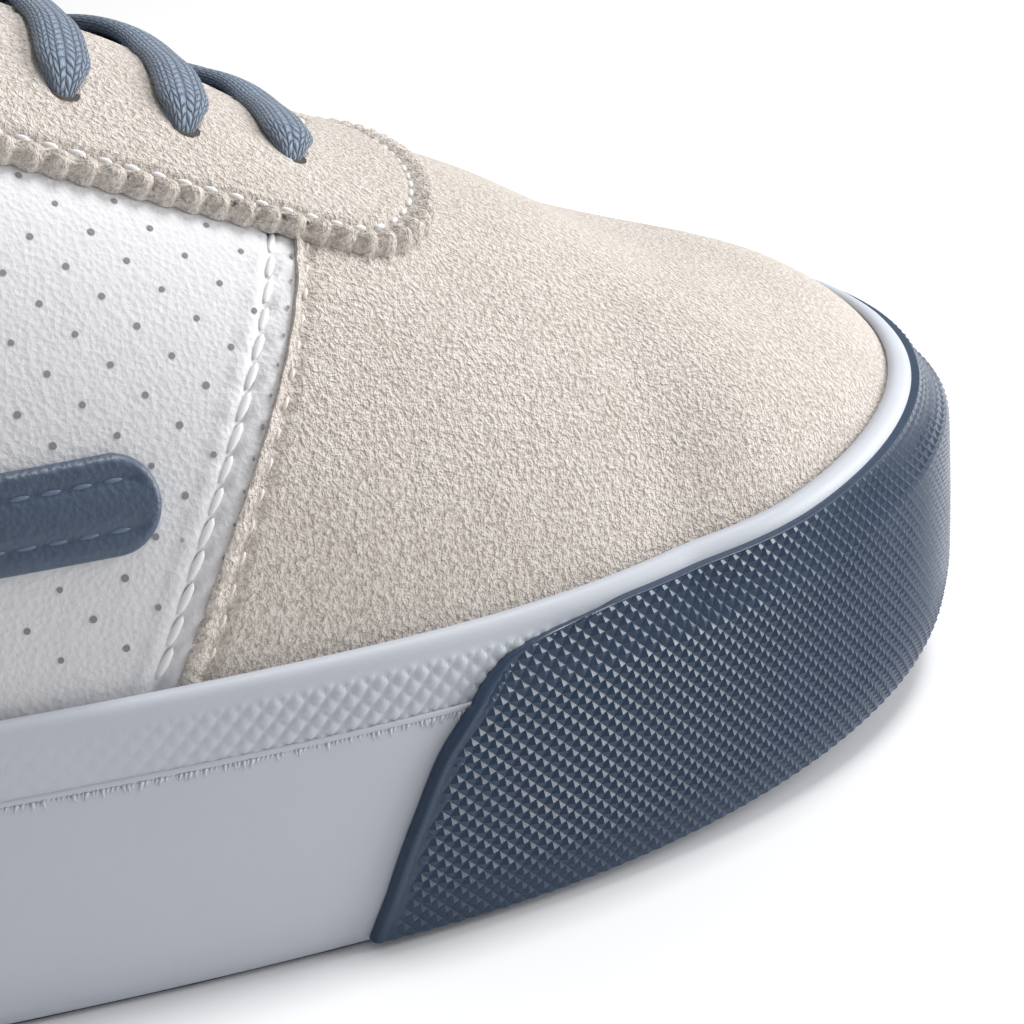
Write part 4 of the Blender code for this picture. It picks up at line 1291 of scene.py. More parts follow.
@dataclass(frozen=True)
class Bumper:
    """The knurled rubber toe bumper over the foxing."""

    proud: float = 1.3 * MM
    top: float = 28.5 * MM
    foot: float = 0.9 * MM
    crease: float = 23.0 * MM
    pitch: float = 1.72 * MM
    rows: float = 1.68 * MM
    stud: float = 0.36 * MM
    border: float = 1.2 * MM
    fade_rear: float = 1.4 * MM
    fade_foot: float = 2.0 * MM
    fade_top: float = 0.7 * MM
    tuck: float = 0.5 * MM
    medial_shift: float = 10.0 * MM
    # share of the border and height over the face, across the smooth edge
    bevel: tuple = (
        (0.0, -0.95), (0.04, -0.50), (0.12, -0.18), (0.24, 0.02), (0.40, 0.10),
        (0.58, 0.10), (0.76, 0.06), (0.90, -0.02), (1.0, -0.12),
    )
    # height over the floor line and x of the rear edge
    rear: tuple = (
        (0.0, 50.2), (9.0, 53.5), (14.0, 55.8), (19.0, 58.4), (22.0, 60.9), (24.3, 62.8),
        (26.0, 64.8), (27.0, 67.0), (27.9, 72.0), (28.5, 80.0),
    )

    def surface(self, t: Array, height: Array) -> Array:
        """The smooth outer face at a height over the floor line.

        Args:
            t: Places round the last.
            height: Heights over the floor line.

        Returns:
            The points.
        """
        face = FOXING.face_depth(np.minimum(height, self.crease)) - self.proud
        low = FOXING.on_outline(t, np.minimum(height, self.crease), face)
        high = FOXING.on_wall(t, self.top, FOXING.strip_wall + self.proud * 0.6)
        share = np.clip((height - self.crease) / (self.top - self.crease), 0.0, 1.0)
        share = share + 0.10 * np.sin(math.pi * share)
        mixed = low + (high - low) * share[..., None]
        mixed[..., 2] = LAST.floor_line(LAST.outline(t)[..., 0]) + height
        return mixed

    def ends(self, height: Array) -> tuple[Array, Array]:
        """t of the two rear edges at a height."""
        x = read(self.rear, 1, height / MM) * MM
        return LAST.t_at(x, Side.LATERAL), LAST.t_at(x - self.medial_shift, Side.MEDIAL)

    def normal(self, base: Array, t: Array, height: Array) -> Array:
        """Outward normals of points on the smooth outer face.

        Args:
            base: The points.
            t: Places round the last.
            height: Heights over the floor line.

        Returns:
            The normals.
        """
        step = 0.2 * MM
        around = self.surface(t + 2e-4, height) - self.surface(t - 2e-4, height)
        upward = self.surface(t, height + step) - base
        return unit(np.cross(around, upward))

    def field(self) -> tuple[Array, Array]:
        """Points and triangles of the knurled field, in a lattice of four samples a stud.

        Returns:
            The points and the faces.
        """
        first, final = self.ends(np.zeros(1))
        t = LAST.even_t(first[0], final[0], self.pitch / 4.0)
        run = distance_along(LAST.outline(t))
        height = np.arange(self.foot, self.top + 1e-6, self.rows / 4.0)
        start, end = self.ends(height)
        low, high = np.interp(start, t, run), np.interp(end, t, run)
        at = np.clip(run[:, None], low[None, :] + self.tuck, high[None, :] - self.tuck)
        grid_t = np.interp(at, run, t)
        grid_h = height[None, :] * np.ones_like(at)
        a, b = np.arange(len(run))[:, None] / 4.0, np.arange(len(height))[None, :] / 4.0
        rear = np.minimum(at - low[None, :], high[None, :] - at)
        shown = smooth((rear - self.border * 0.85) / self.fade_rear) * smooth(grid_h / self.fade_foot)
        shown = shown * smooth((self.top + 0.1 * MM - grid_h) / self.fade_top)
        studs = np.minimum(zigzag(a + b), zigzag(a - b)) * self.stud * shown
        base = self.surface(grid_t, grid_h)
        normal = self.normal(base, grid_t, grid_h)
        points = base + normal * studs[..., None]
        index = np.arange(points.shape[0] * points.shape[1]).reshape(points.shape[:2])
        corner = [index[:-1, :-1], index[1:, :-1], index[1:, 1:], index[:-1, 1:]]
        level = [studs.ravel()[c] for c in corner]
        first_cut = (level[0] + level[2] <= level[1] + level[3])[..., None]
        corner = np.stack(corner, axis=-1)
        halves = [np.where(first_cut, corner[..., one], corner[..., two])
                  for one, two in (([0, 1, 2], [0, 1, 3]), ([0, 2, 3], [1, 2, 3]))]
        faces = np.concatenate([half.reshape(-1, 3) for half in halves])
        inner = base - normal * self.proud * 0.8
        rim = rim_faces(*points.shape[:2], True, None)
        every = faces.tolist() + (faces[:, ::-1] + index.size).tolist() + rim.tolist()
        return np.concatenate([points.reshape(-1, 3), inner.reshape(-1, 3)]), every

    def edging(self) -> tuple[Array, list]:
        """Points and faces of the smooth rounded edge, up one rear edge, round and down the other.

        Returns:
            The points and the faces.
        """
        first, final = self.ends(np.zeros(1))
        t = LAST.even_t(first[0], final[0], 0.5 * MM)
        run = distance_along(LAST.outline(t))
        height = np.linspace(self.foot, self.top, 120)
        start, end = self.ends(height)
        left = np.stack([np.interp(start, t, run), height], axis=-1)
        right = np.stack([np.interp(end, t, run), height], axis=-1)[::-1]
        top = np.linspace(left[-1, 0], right[0, 0], 600)[1:-1]
        line = np.concatenate([left, np.stack([top, np.full(len(top), self.top)], axis=-1), right])
        length = distance_along(line)
        even = np.linspace(0.0, length[-1], int(length[-1] / (0.4 * MM)))
        line = np.stack([np.interp(even, length, line[:, k]) for k in (0, 1)], axis=-1)
        line[3:-3] = sum(line[3 + k : len(line) - 3 + k] for k in range(-3, 4)) / 7.0
        along = np.gradient(line, axis=0)
        inward = unit(np.stack([along[:, 1], -along[:, 0]], axis=-1))
        rear = smooth((self.top - line[:, 1]) / (3.0 * MM))
        wide = self.border * (0.30 + 0.70 * rear)
        share, rise = np.array(self.bevel).T
        rise = rise * MM
        at = line[:, None] + inward[:, None] * (wide[:, None] * share[None, :])[..., None]
        grid_t, grid_h = np.interp(at[..., 0], run, t), np.clip(at[..., 1], self.foot, self.top)
        base = self.surface(grid_t, grid_h)
        normal = self.normal(base, grid_t, grid_h)
        outer = base + normal * rise[None, :, None]
        inner = base - normal * self.proud * 0.9
        rows, columns = outer.shape[:2]
        faces = grid_faces(rows, columns)
        back = faces[:, ::-1] + rows * columns
        every = np.concatenate([faces, back, rim_faces(rows, columns, True, None)])
        return np.concatenate([outer.reshape(-1, 3), inner.reshape(-1, 3)]), every.tolist()

    def build(self, rubber: bpy.types.Material) -> None:
        """Makes the bumper.

        Args:
            rubber: The rubber.
        """
        field, faces = self.field()
        edge, edge_faces = self.edging()
        faces += [tuple(i + len(field) for i in face) for face in edge_faces]
        made = make_mesh("toe_bumper_rubber", np.concatenate([field, edge]), faces, rubber, sharp=20.0)
        hand_in(made, "blue_rubber", "toe_bumper")


BUMPER = Bumper()


class Form(Enum):
    """The small forms that repeat, each as its node's kind, settings and values."""

    STITCH = ("GeometryNodeMeshUVSphere", None, {"Segments": 8, "Rings": 7, "Radius": 0.5})
    HOLE = ("GeometryNodeMeshCircle", {"fill_type": "NGON"}, {"Vertices": 10, "Radius": 0.5})
    BURR = ("GeometryNodeMeshCone", None, {
        "Vertices": 4, "Radius Bottom": 0.5, "Radius Top": 0.05, "Depth": 1.0})


@dataclass(frozen=True)
class Repeat:
    """A Geometry Nodes tree that sets one small form on every point of a mesh."""

    form: Form
    length: float
    width: float
    height: float
    jitter: float = 0.10
    seed: int = 7

    def tree(self, finish: bpy.types.Material) -> bpy.types.NodeTree:
        """The node tree, with its sizes as named inputs.

        Args:
            finish: The material.

        Returns:
            The tree.
        """
        tree = bpy.data.node_groups.new(f"{self.form.name.lower()}_repeat", "GeometryNodeTree")
        tree.interface.new_socket("Points", in_out="INPUT", socket_type="NodeSocketGeometry")
        for name in ("Length", "Width", "Height", "Jitter"):
            tree.interface.new_socket(name, in_out="INPUT", socket_type="NodeSocketFloat")
        tree.interface.new_socket("Seed", in_out="INPUT", socket_type="NodeSocketInt")
        tree.interface.new_socket("Forms", in_out="OUTPUT", socket_type="NodeSocketGeometry")
        given = add_node(tree, "NodeGroupInput").outputs
        axes = [add_node(tree, "GeometryNodeInputNamedAttribute", {"data_type": "FLOAT_VECTOR"}, {0: name})
                for name in ("up", "along")]
        turn = add_node(tree, "FunctionNodeAxesToRotation", {"primary_axis": "Z", "secondary_axis": "X"}, {
            i: axis.outputs[0] for i, axis in enumerate(axes)})
        shape = add_node(tree, *self.form.value)
        least, most = (
            add_node(tree, "ShaderNodeMath", {"operation": operation}, {0: 1.0, 1: given["Jitter"]})
            for operation in ("SUBTRACT", "ADD"))
        random = add_node(tree, "FunctionNodeRandomValue", {"data_type": "FLOAT"}, {
            "Seed": given["Seed"], 2: least.outputs[0], 3: most.outputs[0]})
        size = add_node(tree, "ShaderNodeCombineXYZ", None, {
            0: given["Length"], 1: given["Width"], 2: given["Height"]})
        scale = add_node(tree, "ShaderNodeVectorMath", {"operation": "SCALE"}, {
            0: size.outputs[0], "Scale": random.outputs[1]})
        placed = add_node(tree, "GeometryNodeInstanceOnPoints", None, {
            "Points": given["Points"], "Instance": shape.outputs["Mesh"],
            "Rotation": turn.outputs[0], "Scale": scale.outputs[0]})
        real = add_node(tree, "GeometryNodeRealizeInstances", None, {0: placed.outputs[0]})
        dressed = add_node(tree, "GeometryNodeSetMaterial", None, {
            "Geometry": real.outputs[0], "Material": finish})
        add_node(tree, "NodeGroupOutput", None, {0: dressed.outputs[0]})
        return tree

    def build(self, name: str, points: Array, along: Array, up: Array,
              finish: bpy.types.Material, slot: str) -> bpy.types.Object:
        """Sets the form on every point.

        Args:
            name: The piece's name.
            points: Where each form's middle lies.
            along: The direction of each form's length.
            up: The direction of each form's height.
            finish: The material.
            slot: Name of a material slot, only written to the log.

        Returns:
            The piece, as one plain mesh.
        """
        mesh = bpy.data.meshes.new(name + "_points")
        mesh.from_pydata(points.tolist(), [], [])
        for label, values in (("along", along), ("up", up)):
            mesh.attributes.new(label, "FLOAT_VECTOR", "POINT").data.foreach_set("vector", values.ravel())
        holder = bpy.data.objects.new(name + "_points", mesh)
        bpy.context.scene.collection.objects.link(holder)
        modifier = holder.modifiers.new("repeat", "NODES")
        modifier.node_group = self.tree(finish)
        sizes = {"Length": self.length, "Width": self.width, "Height": self.height,
                 "Jitter": self.jitter, "Seed": self.seed}
        for item in modifier.node_group.interface.items_tree:
            if item.name in sizes:
                modifier[item.identifier] = sizes[item.name]
        bpy.context.view_layer.update()
        real = bpy.data.meshes.new_from_object(holder.evaluated_get(bpy.context.evaluated_depsgraph_get()))
        bpy.data.objects.remove(holder)
        real.shade_smooth()
        made = bpy.data.objects.new(name, real)
        bpy.context.scene.collection.objects.link(made)
        return hand_in(made, slot)


def even_places(path: Array, up: Array, pitch: float) -> tuple[Array, Array, Array]:
    """Places an even pitch apart along a path, with the path's direction and normal there.

    Args:
        path: Points of the path.
        up: Normals along the path.
        pitch: Distance between two.

    Returns:
        Points, directions and normals.
    """
    run = distance_along(path)
    count = max(2, int(round(run[-1] / pitch)))
    at = (np.arange(count) + 0.5) / count * run[-1]
    points, normal = (
        np.stack([np.interp(at, run, line[:, k]) for k in range(3)], axis=-1) for line in (path, up))
    return points, unit(np.gradient(points, axis=0)), normal


@dataclass(frozen=True)
class Stitching:
    """Every visible row of stitches."""

    seam_stitch: Repeat = Repeat(Form.STITCH, 3.10 * MM, 0.84 * MM, 0.56 * MM, 0.09, 3)
    suede_stitch: Repeat = Repeat(Form.STITCH, 1.4 * MM, 0.50 * MM, 0.6 * MM, 0.14, 5)
    # painted shade: small flat discs for the shade in the needle holes beside the seam
    needle_hole_shade: Repeat = Repeat(Form.HOLE, 0.52 * MM, 0.34 * MM, MM, 0.30, 9)
    stay_stitch: Repeat = Repeat(Form.STITCH, 1.6 * MM, 0.66 * MM, 0.7 * MM, 0.12, 11)
    tab_stitch: Repeat = Repeat(Form.STITCH, 2.1 * MM, 0.55 * MM, 0.5 * MM, 0.06, 13)

    def seam_row(self, across: float, lift: float, side: Side, tilt: float) -> tuple[Array, Array, Array]:
        """A row beside the vamp's seam, from the foxing to under the eyestay.

        Args:
            across: Distance in front of the seam.
            lift: Height over the last.
            side: The side of the shoe.
            tilt: How far each stitch turns across the row.

        Returns:
            Points, directions and normals.
        """
        z = np.linspace(SEAM.foot_z + 0.4 * MM, SEAM.foot_z + 36.0 * MM, 200)
        x = SEAM.x_at(z) + across * math.hypot(1.0, SEAM.lean)
        points, along, up = even_places(*LAST.placed(*LAST.from_side(x, z, side), lift), SEAM.pitch)
        return points, unit(along + np.cross(up, along) * tilt * side.value), up

    def build(self, white: bpy.types.Material, cream: bpy.types.Material,
              blue: bpy.types.Material, dark: bpy.types.Material, tab: "Tab") -> None:
        """Makes all rows.

        Args:
            white: White thread.
            cream: Cream thread.
            blue: Blue thread.
            dark: The painted shade in the needle holes.
            tab: The tabs.
        """
        stay = [EYESTAY.stitch_row(EYESTAY.row, False), EYESTAY.stitch_row(EYESTAY.inner_row, True)]
        tabs = [tab.stitch_row(side, hand) for side in Side for hand in (-1.0, 1.0)]
        leather, suede, holes = (
            [self.seam_row(across, lift * MM, side, tilt) for side in Side]
            for across, lift, tilt in ((SEAM.leather_row, 0.10, 0.16), (SEAM.suede_row, 0.02, 0.10),
                                       (SEAM.hole_row, 0.42, 0.0)))
        for name, form, rows, finish, slot in (
                ("seam_stitches", self.seam_stitch, leather, white, "white_leather"),
                ("seam_hole_shade", self.needle_hole_shade, holes, dark, "cream_suede"),
                ("vamp_stitches", self.suede_stitch, suede, cream, "cream_suede"),
                ("eyestay_stitches", self.stay_stitch, stay, white, "cream_suede"),
                ("tab_stitches", self.tab_stitch, tabs, blue, "blue_leather")):
            form.build(name, *map(np.concatenate, zip(*rows)), finish, slot)


@dataclass(frozen=True)
class LipBurrs:
    """The torn trimming burrs that hang from the foxing's lip."""

    pitch: float = 0.46 * MM
    lean: float = 0.45
    seed: int = 31
    burr: Repeat = Repeat(Form.BURR, 0.10 * MM, 0.42 * MM, 0.62 * MM, 0.65, 23)

    def build(self, rubber: bpy.types.Material) -> None:
        """Makes the burrs.

        Args:
            rubber: The rubber.
        """
        first, final = BUMPER.ends(np.array([FOXING.height - FOXING.strip]))
        t = LAST.even_t(float(final[0]), 2.0 + float(first[0]), self.pitch)
        level = FOXING.height - FOXING.strip - 0.55 * MM
        points = FOXING.on_outline(t, level, FOXING.face_depth(level) - 0.04 * MM)
        out = unit(points - FOXING.on_outline(t, level, FOXING.face_depth(level) + MM))
        lean = np.random.default_rng(self.seed).uniform(-self.lean, self.lean, len(t))[:, None]
        down = unit(np.gradient(points, axis=0)) * lean + out * 0.12 + (0.0, 0.0, -1.0)
        self.burr.build("lip_burrs", points, out, down, rubber, "white_rubber")


@dataclass(frozen=True)
class Perforations:
    """The punched holes in the leather quarters, in a slanted lattice, each a flat grey disc of painted
    shade.
    """

    pitch: float = 6.05 * MM
    row: float = 3.18 * MM
    shift: float = 2.68 * MM
    first_x: float = 34.1 * MM
    first_arc: float = 63.6 * MM
    diameter: float = 0.66 * MM
    rear: float = -52.0 * MM
    lift: float = 0.31 * MM

    def build(self, dark: bpy.types.Material) -> None:
        """Makes the holes, as flat discs of painted shade.

        Args:
            dark: The painted shade in the holes.
        """
        share = np.linspace(0.0, 1.0, 300)
        points, ups = [], []
        for side in Side:
            k, n = (g.ravel() for g in np.meshgrid(np.arange(-3, 17), np.arange(-24, 10), indexing="ij"))
            x, arc = self.first_x + k * self.shift + self.pitch * n, self.first_arc - k * self.row
            t = LAST.t_at(x, side)
            column = distance_along(LAST.point(t[:, None] * np.ones(300), np.ones((len(t), 1)) * share), 1)
            rise = np.array([np.interp(a, line, share) for a, line in zip(arc, column)])
            place = LAST.point(t, rise)
            above = place[:, 2] > LAST.floor_line(place[:, 0]) + FOXING.height + 1.2 * MM
            clear = SEAM.across(place[:, 0], place[:, 2]) < SEAM.leather_row - 0.75 * MM
            inside = (arc < column[:, -1]) & (x > self.rear) & (rise < LAST.edge_rise(t) - 0.05)
            kept = above & clear & inside
            point, up = LAST.placed(t, rise, self.lift + QUARTERS.relief(place))
            points.append(point[kept])
            ups.append(up[kept])
        points, ups = np.concatenate(points), np.concatenate(ups)
        along = np.cross(ups, (0.0, 0.0, 1.0))
        hole = Repeat(Form.HOLE, self.diameter, self.diameter, MM, 0.12, 17)
        hole.build("perforations", points, along, ups, dark, "white_leather")


@dataclass(frozen=True)
class Laces:
    """The braided flat laces, each from its eyelet over the throat and under the far side."""

    count: int = 6
    first: float = 59.7 * MM
    pitch: float = 11.8 * MM
    width: float = 5.6 * MM
    thick: float = 1.9 * MM
    hole: float = 21.4 * MM
    first_hole: float = 19.9 * MM
    around: int = 30
    gather: float = 0.34
    flat_power: float = 0.75
    tall_power: float = 0.85
    eyelet: tuple = (3.4 * MM, 3.0 * MM)
    # share of the way, x from the eyelet, share of the width from near (1) to far (-1), lift
    route: tuple = (
        (0.00, -1.2, 1.03, -1.6), (0.05, -1.2, 1.02, 0.7), (0.12, -1.0, 0.94, 2.6), (0.25, -0.1, 0.74, 2.9),
        (0.42, 0.7, 0.44, 2.6), (0.56, 0.0, 0.14, 2.2), (0.68, -2.6, -0.12, 1.3), (0.80, -6.2, -0.36, -0.1),
        (0.90, -9.6, -0.56, -1.3), (1.00, -12.4, -0.72, -2.4),
    )

    def eyelet_x(self, index: int) -> float:
        """x of an eyelet, counted from the front."""
        return self.first - index * self.pitch

    def path(self, index: int, side: Side) -> tuple[Array, Array, Array]:
        """Centre line, normal and share of the way of one crossing.

        Args:
            index: The crossing, from the front.
            side: The side of the shoe.

        Returns:
            Points, normals and shares.
        """
        share = np.linspace(0.0, 1.0, 90)
        x, width, lift = (read(self.route, k, share) for k in (1, 2, 3))
        reach = self.first_hole if index == 0 else self.hole
        order = 0.8 if side is Side.LATERAL else -1.0
        x = self.eyelet_x(index) + x * MM
        signed = side.value * width * reach
        swell = EYESTAY.swell(x, np.maximum(np.abs(signed), EYESTAY.inner_half))
        lift = (lift + order * bump(share, 0.62, 0.20)) * MM + swell * smooth((1.0 - share) / 0.3)
        return *LAST.placed(*LAST.from_above(x, signed), lift), share

    def strand(self, index: int, side: Side) -> tuple[Array, Array]:
        """Points and UVs of one crossing, a flat oval cord.

        Args:
            index: The crossing, from the front.
            side: The side of the shoe.

        Returns:
            The points and their UVs.
        """
        centre, up, share = self.path(index, side)
        along = unit(np.gradient(centre, axis=0))
        blend = smooth((share - 0.02) / 0.10)[:, None]
        toward = np.array([0.0, side.value, 0.0])
        across = unit(np.cross(along, up * blend + toward * (1.0 - blend)))
        up = np.cross(across, along)
        gather = self.gather + (1.0 - self.gather) * smooth((share - 0.03) / 0.16)
        turn = np.linspace(0.0, 2.0 * math.pi, self.around + 1)
        flat, tall = (np.sign(wave) * np.abs(wave) ** power
                      for wave, power in ((np.cos(turn), self.flat_power), (np.sin(turn), self.tall_power)))
        half, thick = self.width / 2.0 * gather, self.thick / 2.0 * (1.25 - 0.25 * gather)
        ring = (across[:, None] * (half[:, None] * flat[None, :])[..., None]
                + up[:, None] * (thick[:, None] * tall[None, :])[..., None])
        points = centre[:, None] + ring
        girth = turn / (2.0 * math.pi) * 2.0 * (self.width + self.thick) * 0.86
        uv = np.stack([distance_along(centre)[:, None] * np.ones_like(girth)[None, :],
                       girth[None, :] * np.ones_like(share)[:, None]], axis=-1)
        return points, uv

    def build_eyelets(self, dark: bpy.types.Material) -> None:
        """Makes dark discs of painted shadow in the punched eyelet holes; the laces' hidden ends stop at the
        last pair.

        Args:
            dark: The painted shadow in the holes.
        """
        index, hand = np.arange(self.count), np.array([[-1.0], [1.0]])
        x = (self.first - MM - index * self.pitch)[None, :] * np.ones_like(hand)
        width = hand * np.where(index == 0, self.first_hole, self.hole)[None, :]
        lift = EYESTAY.under + EYESTAY.thick + EYESTAY.swell(x, width) + 0.07 * MM
        points, ups = (part.reshape(-1, 3) for part in LAST.placed(*LAST.from_above(x, width), lift))
        along = np.cross(ups, (0.0, 1.0, 0.0))
        eyelet = Repeat(Form.HOLE, *self.eyelet, MM, 0.05, 19)
        eyelet.build("eyelet_hole_shadows", points, along, ups, dark, "cream_suede")

    def build(self, cord: bpy.types.Material) -> None:
        """Makes the laces, one piece for each crossing.

        Args:
            cord: The cord's material.
        """
        for index in range(self.count - 1):
            strands, uvs = zip(*(self.strand(index, side) for side in Side))
            rows, columns = strands[0].shape[:2]
            faces = []
            for start in (0, rows * columns):
                faces += (grid_faces(rows, columns) + start).tolist()
                faces += end_faces(rows, columns, start)
            points, uv = np.concatenate(strands).reshape(-1, 3), np.concatenate(uvs).reshape(-1, 2)
            made = make_mesh(f"lace_{index + 1}", points, faces, cord, uv)
            hand_in(made, "lace_cord", f"lace_crossing_{index + 1}")


@dataclass(frozen=True)
class Tab:
    """A plain round-ended leather tab on each quarter, with two rows of stitches."""

    front: float = 0.620
    length: float = 52.0 * MM
    width: float = 8.8 * MM
    height: float = 46.5 * MM
    under: float = 0.40 * MM
    thick: float = 1.2 * MM
    row: float = 2.1 * MM
    row_depth: float = 0.32 * MM
    stitch: float = 2.8 * MM
    edge_radius: float = 0.8 * MM
    crown: float = 0.25 * MM

    def middle(self) -> float:
        """x of the tab's middle."""
        return LAST.place(self.front) - self.length / 2.0

    def stitch_row(self, side: Side, hand: float) -> tuple[Array, Array, Array]:
        """One row of stitches.

        Args:
            side: The side of the shoe.
            hand: Which row, -1 or 1.

        Returns:
            Points, directions and normals.
        """
        reach = self.length / 2.0 - 3.0 * MM
        x = self.middle() + np.linspace(-reach, reach, 120)
        place = LAST.from_side(x, np.full(120, self.height + hand * self.row), side)
        return even_places(*LAST.placed(*place, self.under + self.thick * 0.86), self.stitch)

    def build(self, side: Side, leather: bpy.types.Material) -> None:
        """Makes the tab of one side.

        Args:
            side: The side of the shoe.
            leather: The leather.
        """
        radius = self.width / 2.0
        turn = np.linspace(0.0, math.pi, 90)
        run = np.cos(turn)
        spine = self.length / 2.0 - radius
        reach = spine * np.clip(run * 1.5, -1.0, 1.0) + radius * np.sign(run) * np.clip(
            (np.abs(run) - 1.0 / 1.5) * 3.0, 0.0, 1.0)
        over = np.clip(np.abs(reach) - spine, 0.0, radius)[:, None]
        half = radius * np.sqrt(np.clip(1.0 - (over / radius) ** 2, 0.0, 1.0))
        across = np.sin(np.linspace(-RIGHT_ANGLE, RIGHT_ANGLE, 25))
        x = (self.middle() + reach)[:, None] * np.ones_like(across)[None, :]
        z = self.height + half * across[None, :]
        edge = radius - np.hypot(over, z - self.height)
        rows = bump(np.abs(z - self.height), self.row, 0.8 * MM) * smooth((edge - 0.8 * MM) / MM)
        crown = self.crown * (1.0 - ((z - self.height) / radius) ** 2)
        lift = self.under + self.thick * rounded(edge, self.edge_radius) + crown - self.row_depth * rows
        t, rise = LAST.from_side(x, z, side)
        outer, inner = LAST.skin(t, rise, lift), LAST.skin(t, rise, np.full(x.shape, self.under - 0.2 * MM))
        name = side.name.lower()
        hand_in(make_shell(f"tab_{name}", outer, inner, leather), "blue_leather", f"side_tab_{name}")


@dataclass(frozen=True)
class Inside:
    """The lining, the padded collar and tongue, and the insole."""

    wall: float = 2.2 * MM
    pad: float = 5.5 * MM
    pad_depth: float = 26.0 * MM
    pad_front: float = 0.395
    pad_pitch: float = 1.6 * MM
    tongue_half: float = 29.0 * MM
    tongue_wall: float = 5.0 * MM
    tongue_tuck: float = 14.0 * MM
    tongue_top: float = 0.408
    tongue_gap: float = 1.5 * MM
    insole_room: float = 6.6 * MM
    insole_thick: float = 4.2 * MM
    insole_edge: float = 2.5 * MM
    cloth_half: float = 0.25 * MM

    def build_lining(self, cloth: bpy.types.Material) -> None:
        """Makes the lining, the inner face of the whole upper.

        Args:
            cloth: The cloth.
        """
        pole, heel = LAST.place(LAST.toe_pole), LAST.place(LAST.heel_pole)
        x = np.linspace(heel, pole, 110)
        lateral, medial = LAST.t_at(x, Side.LATERAL), LAST.t_at(x, Side.MEDIAL)
        toe = np.linspace(lateral[-1], medial[-1], 50)[1:-1]
        back = np.linspace(medial[0], 2.0 + lateral[0], 40)[1:]
        t = np.concatenate([lateral, toe, medial[::-1], back])
        edge = LAST.edge_rise(t)
        rise = edge[:, None] * np.linspace(0.0, 1.0, 18)[None, :]
        columns = t[:, None] * np.ones_like(rise)
        outer, inner = (LAST.skin(columns, rise, np.full(rise.shape, hand * self.cloth_half - self.wall))
                        for hand in (1.0, -1.0))
        made = make_shell("lining", outer, inner, cloth, ends=False, sealed=edge > 0.9999)
        hand_in(made, "lining_cloth")

    def build_collar(self, cloth: bpy.types.Material) -> None:
        """Makes the padded collar, a soft roll behind the top line.

        Args:
            cloth: The cloth.
        """
        start, end = (float(LAST.t_at(LAST.place(self.pad_front), side)) for side in Side)
        t = LAST.even_t(end, 2.0 + start, self.pad_pitch)
        top = LAST.edge_rise(t)
        height = LAST.point(t, top)[:, 2]
        turn = np.linspace(0.0, 2.0 * math.pi, 37)
        up = 0.5 + 0.5 * np.sign(np.cos(turn)) * np.abs(np.cos(turn)) ** 0.7
        full = np.sin(turn)
        steps = np.minimum(np.arange(len(t)), np.arange(len(t))[::-1])
        ends = np.maximum(rounded(steps * self.pad_pitch, 9.0 * MM), math.sqrt(0.02))
        rows = []
        for k in range(len(turn)):
            level = height - self.pad_depth * ends * (1.0 - up[k]) + 0.8 * MM * up[k] ** 6
            rise = LAST.rise_at_height(t, level)
            swell = np.where(full[k] > 0.0, 1.7 * MM * full[k] ** 0.8 * up[k] ** 3, self.pad * full[k]) * ends
            channel = 0.9 * MM * math.exp(-((up[k] - 0.42) / 0.05) ** 2) * (full[k] < 0.0)
            rows.append(LAST.skin(t, rise, -self.wall - 0.3 * MM + swell + channel))
        points = np.stack(rows[::-1], axis=1)
        faces = grid_faces(*points.shape[:2]).tolist() + end_faces(*points.shape[:2])
        uv = surface_uv(points).reshape(-1, 2)
        made = make_mesh("collar_padding", points.reshape(-1, 3), faces, cloth, uv, 80.0)
        hand_in(made, "lining_cloth", "collar_pad")

    def build_tongue(self, cloth: bpy.types.Material) -> None:
        """Makes the padded tongue, from under the vamp to over the top of the throat.

        Args:
            cloth: The cloth.
        """
        front, top = LAST.place(LAST.throat_front) + self.tongue_tuck, LAST.place(self.tongue_top)
        share = np.linspace(0.0, 1.0, 110)
        across = np.sin(np.linspace(-RIGHT_ANGLE, RIGHT_ANGLE, 61))
        x = (front + (top - front) * share)[:, None] * np.ones_like(across)[None, :]
        half = self.tongue_half * (0.70 + 0.30 * smooth(share * 1.4))
        half = half * (1.0 - 0.10 * smooth((share - 0.93) / 0.07))
        width = half[:, None] * across[None, :]
        sunk = self.wall + self.tongue_gap * (1.0 + smooth((share - 0.70) / 0.15))
        thick = self.tongue_wall * (0.45 + 0.55 * smooth(share * 2.5))
        side = np.sqrt(np.clip(1.0 - np.abs(across) ** 5, 0.0, 1.0))[None, :]
        end = np.sqrt(np.clip(1.0 - np.clip((share - 0.95) / 0.05, 0.0, 1.0) ** 2, 0.0, 1.0))[:, None]
        puff = 1.2 * MM * smooth((share - 0.55) / 0.2)[:, None] * (1.0 - across[None, :] ** 2)
        full = side * end
        middle = -(sunk + thick / 2.0)[:, None]
        outer = LAST.plan(x, width, middle + thick[:, None] / 2.0 * full + puff * full)
        inner = LAST.plan(x, width, middle - thick[:, None] / 2.0 * full - 0.01 * MM)
        made = make_shell("tongue_padding", outer[::-1], inner[::-1], cloth)
        hand_in(made, "tongue_cloth", "tongue")

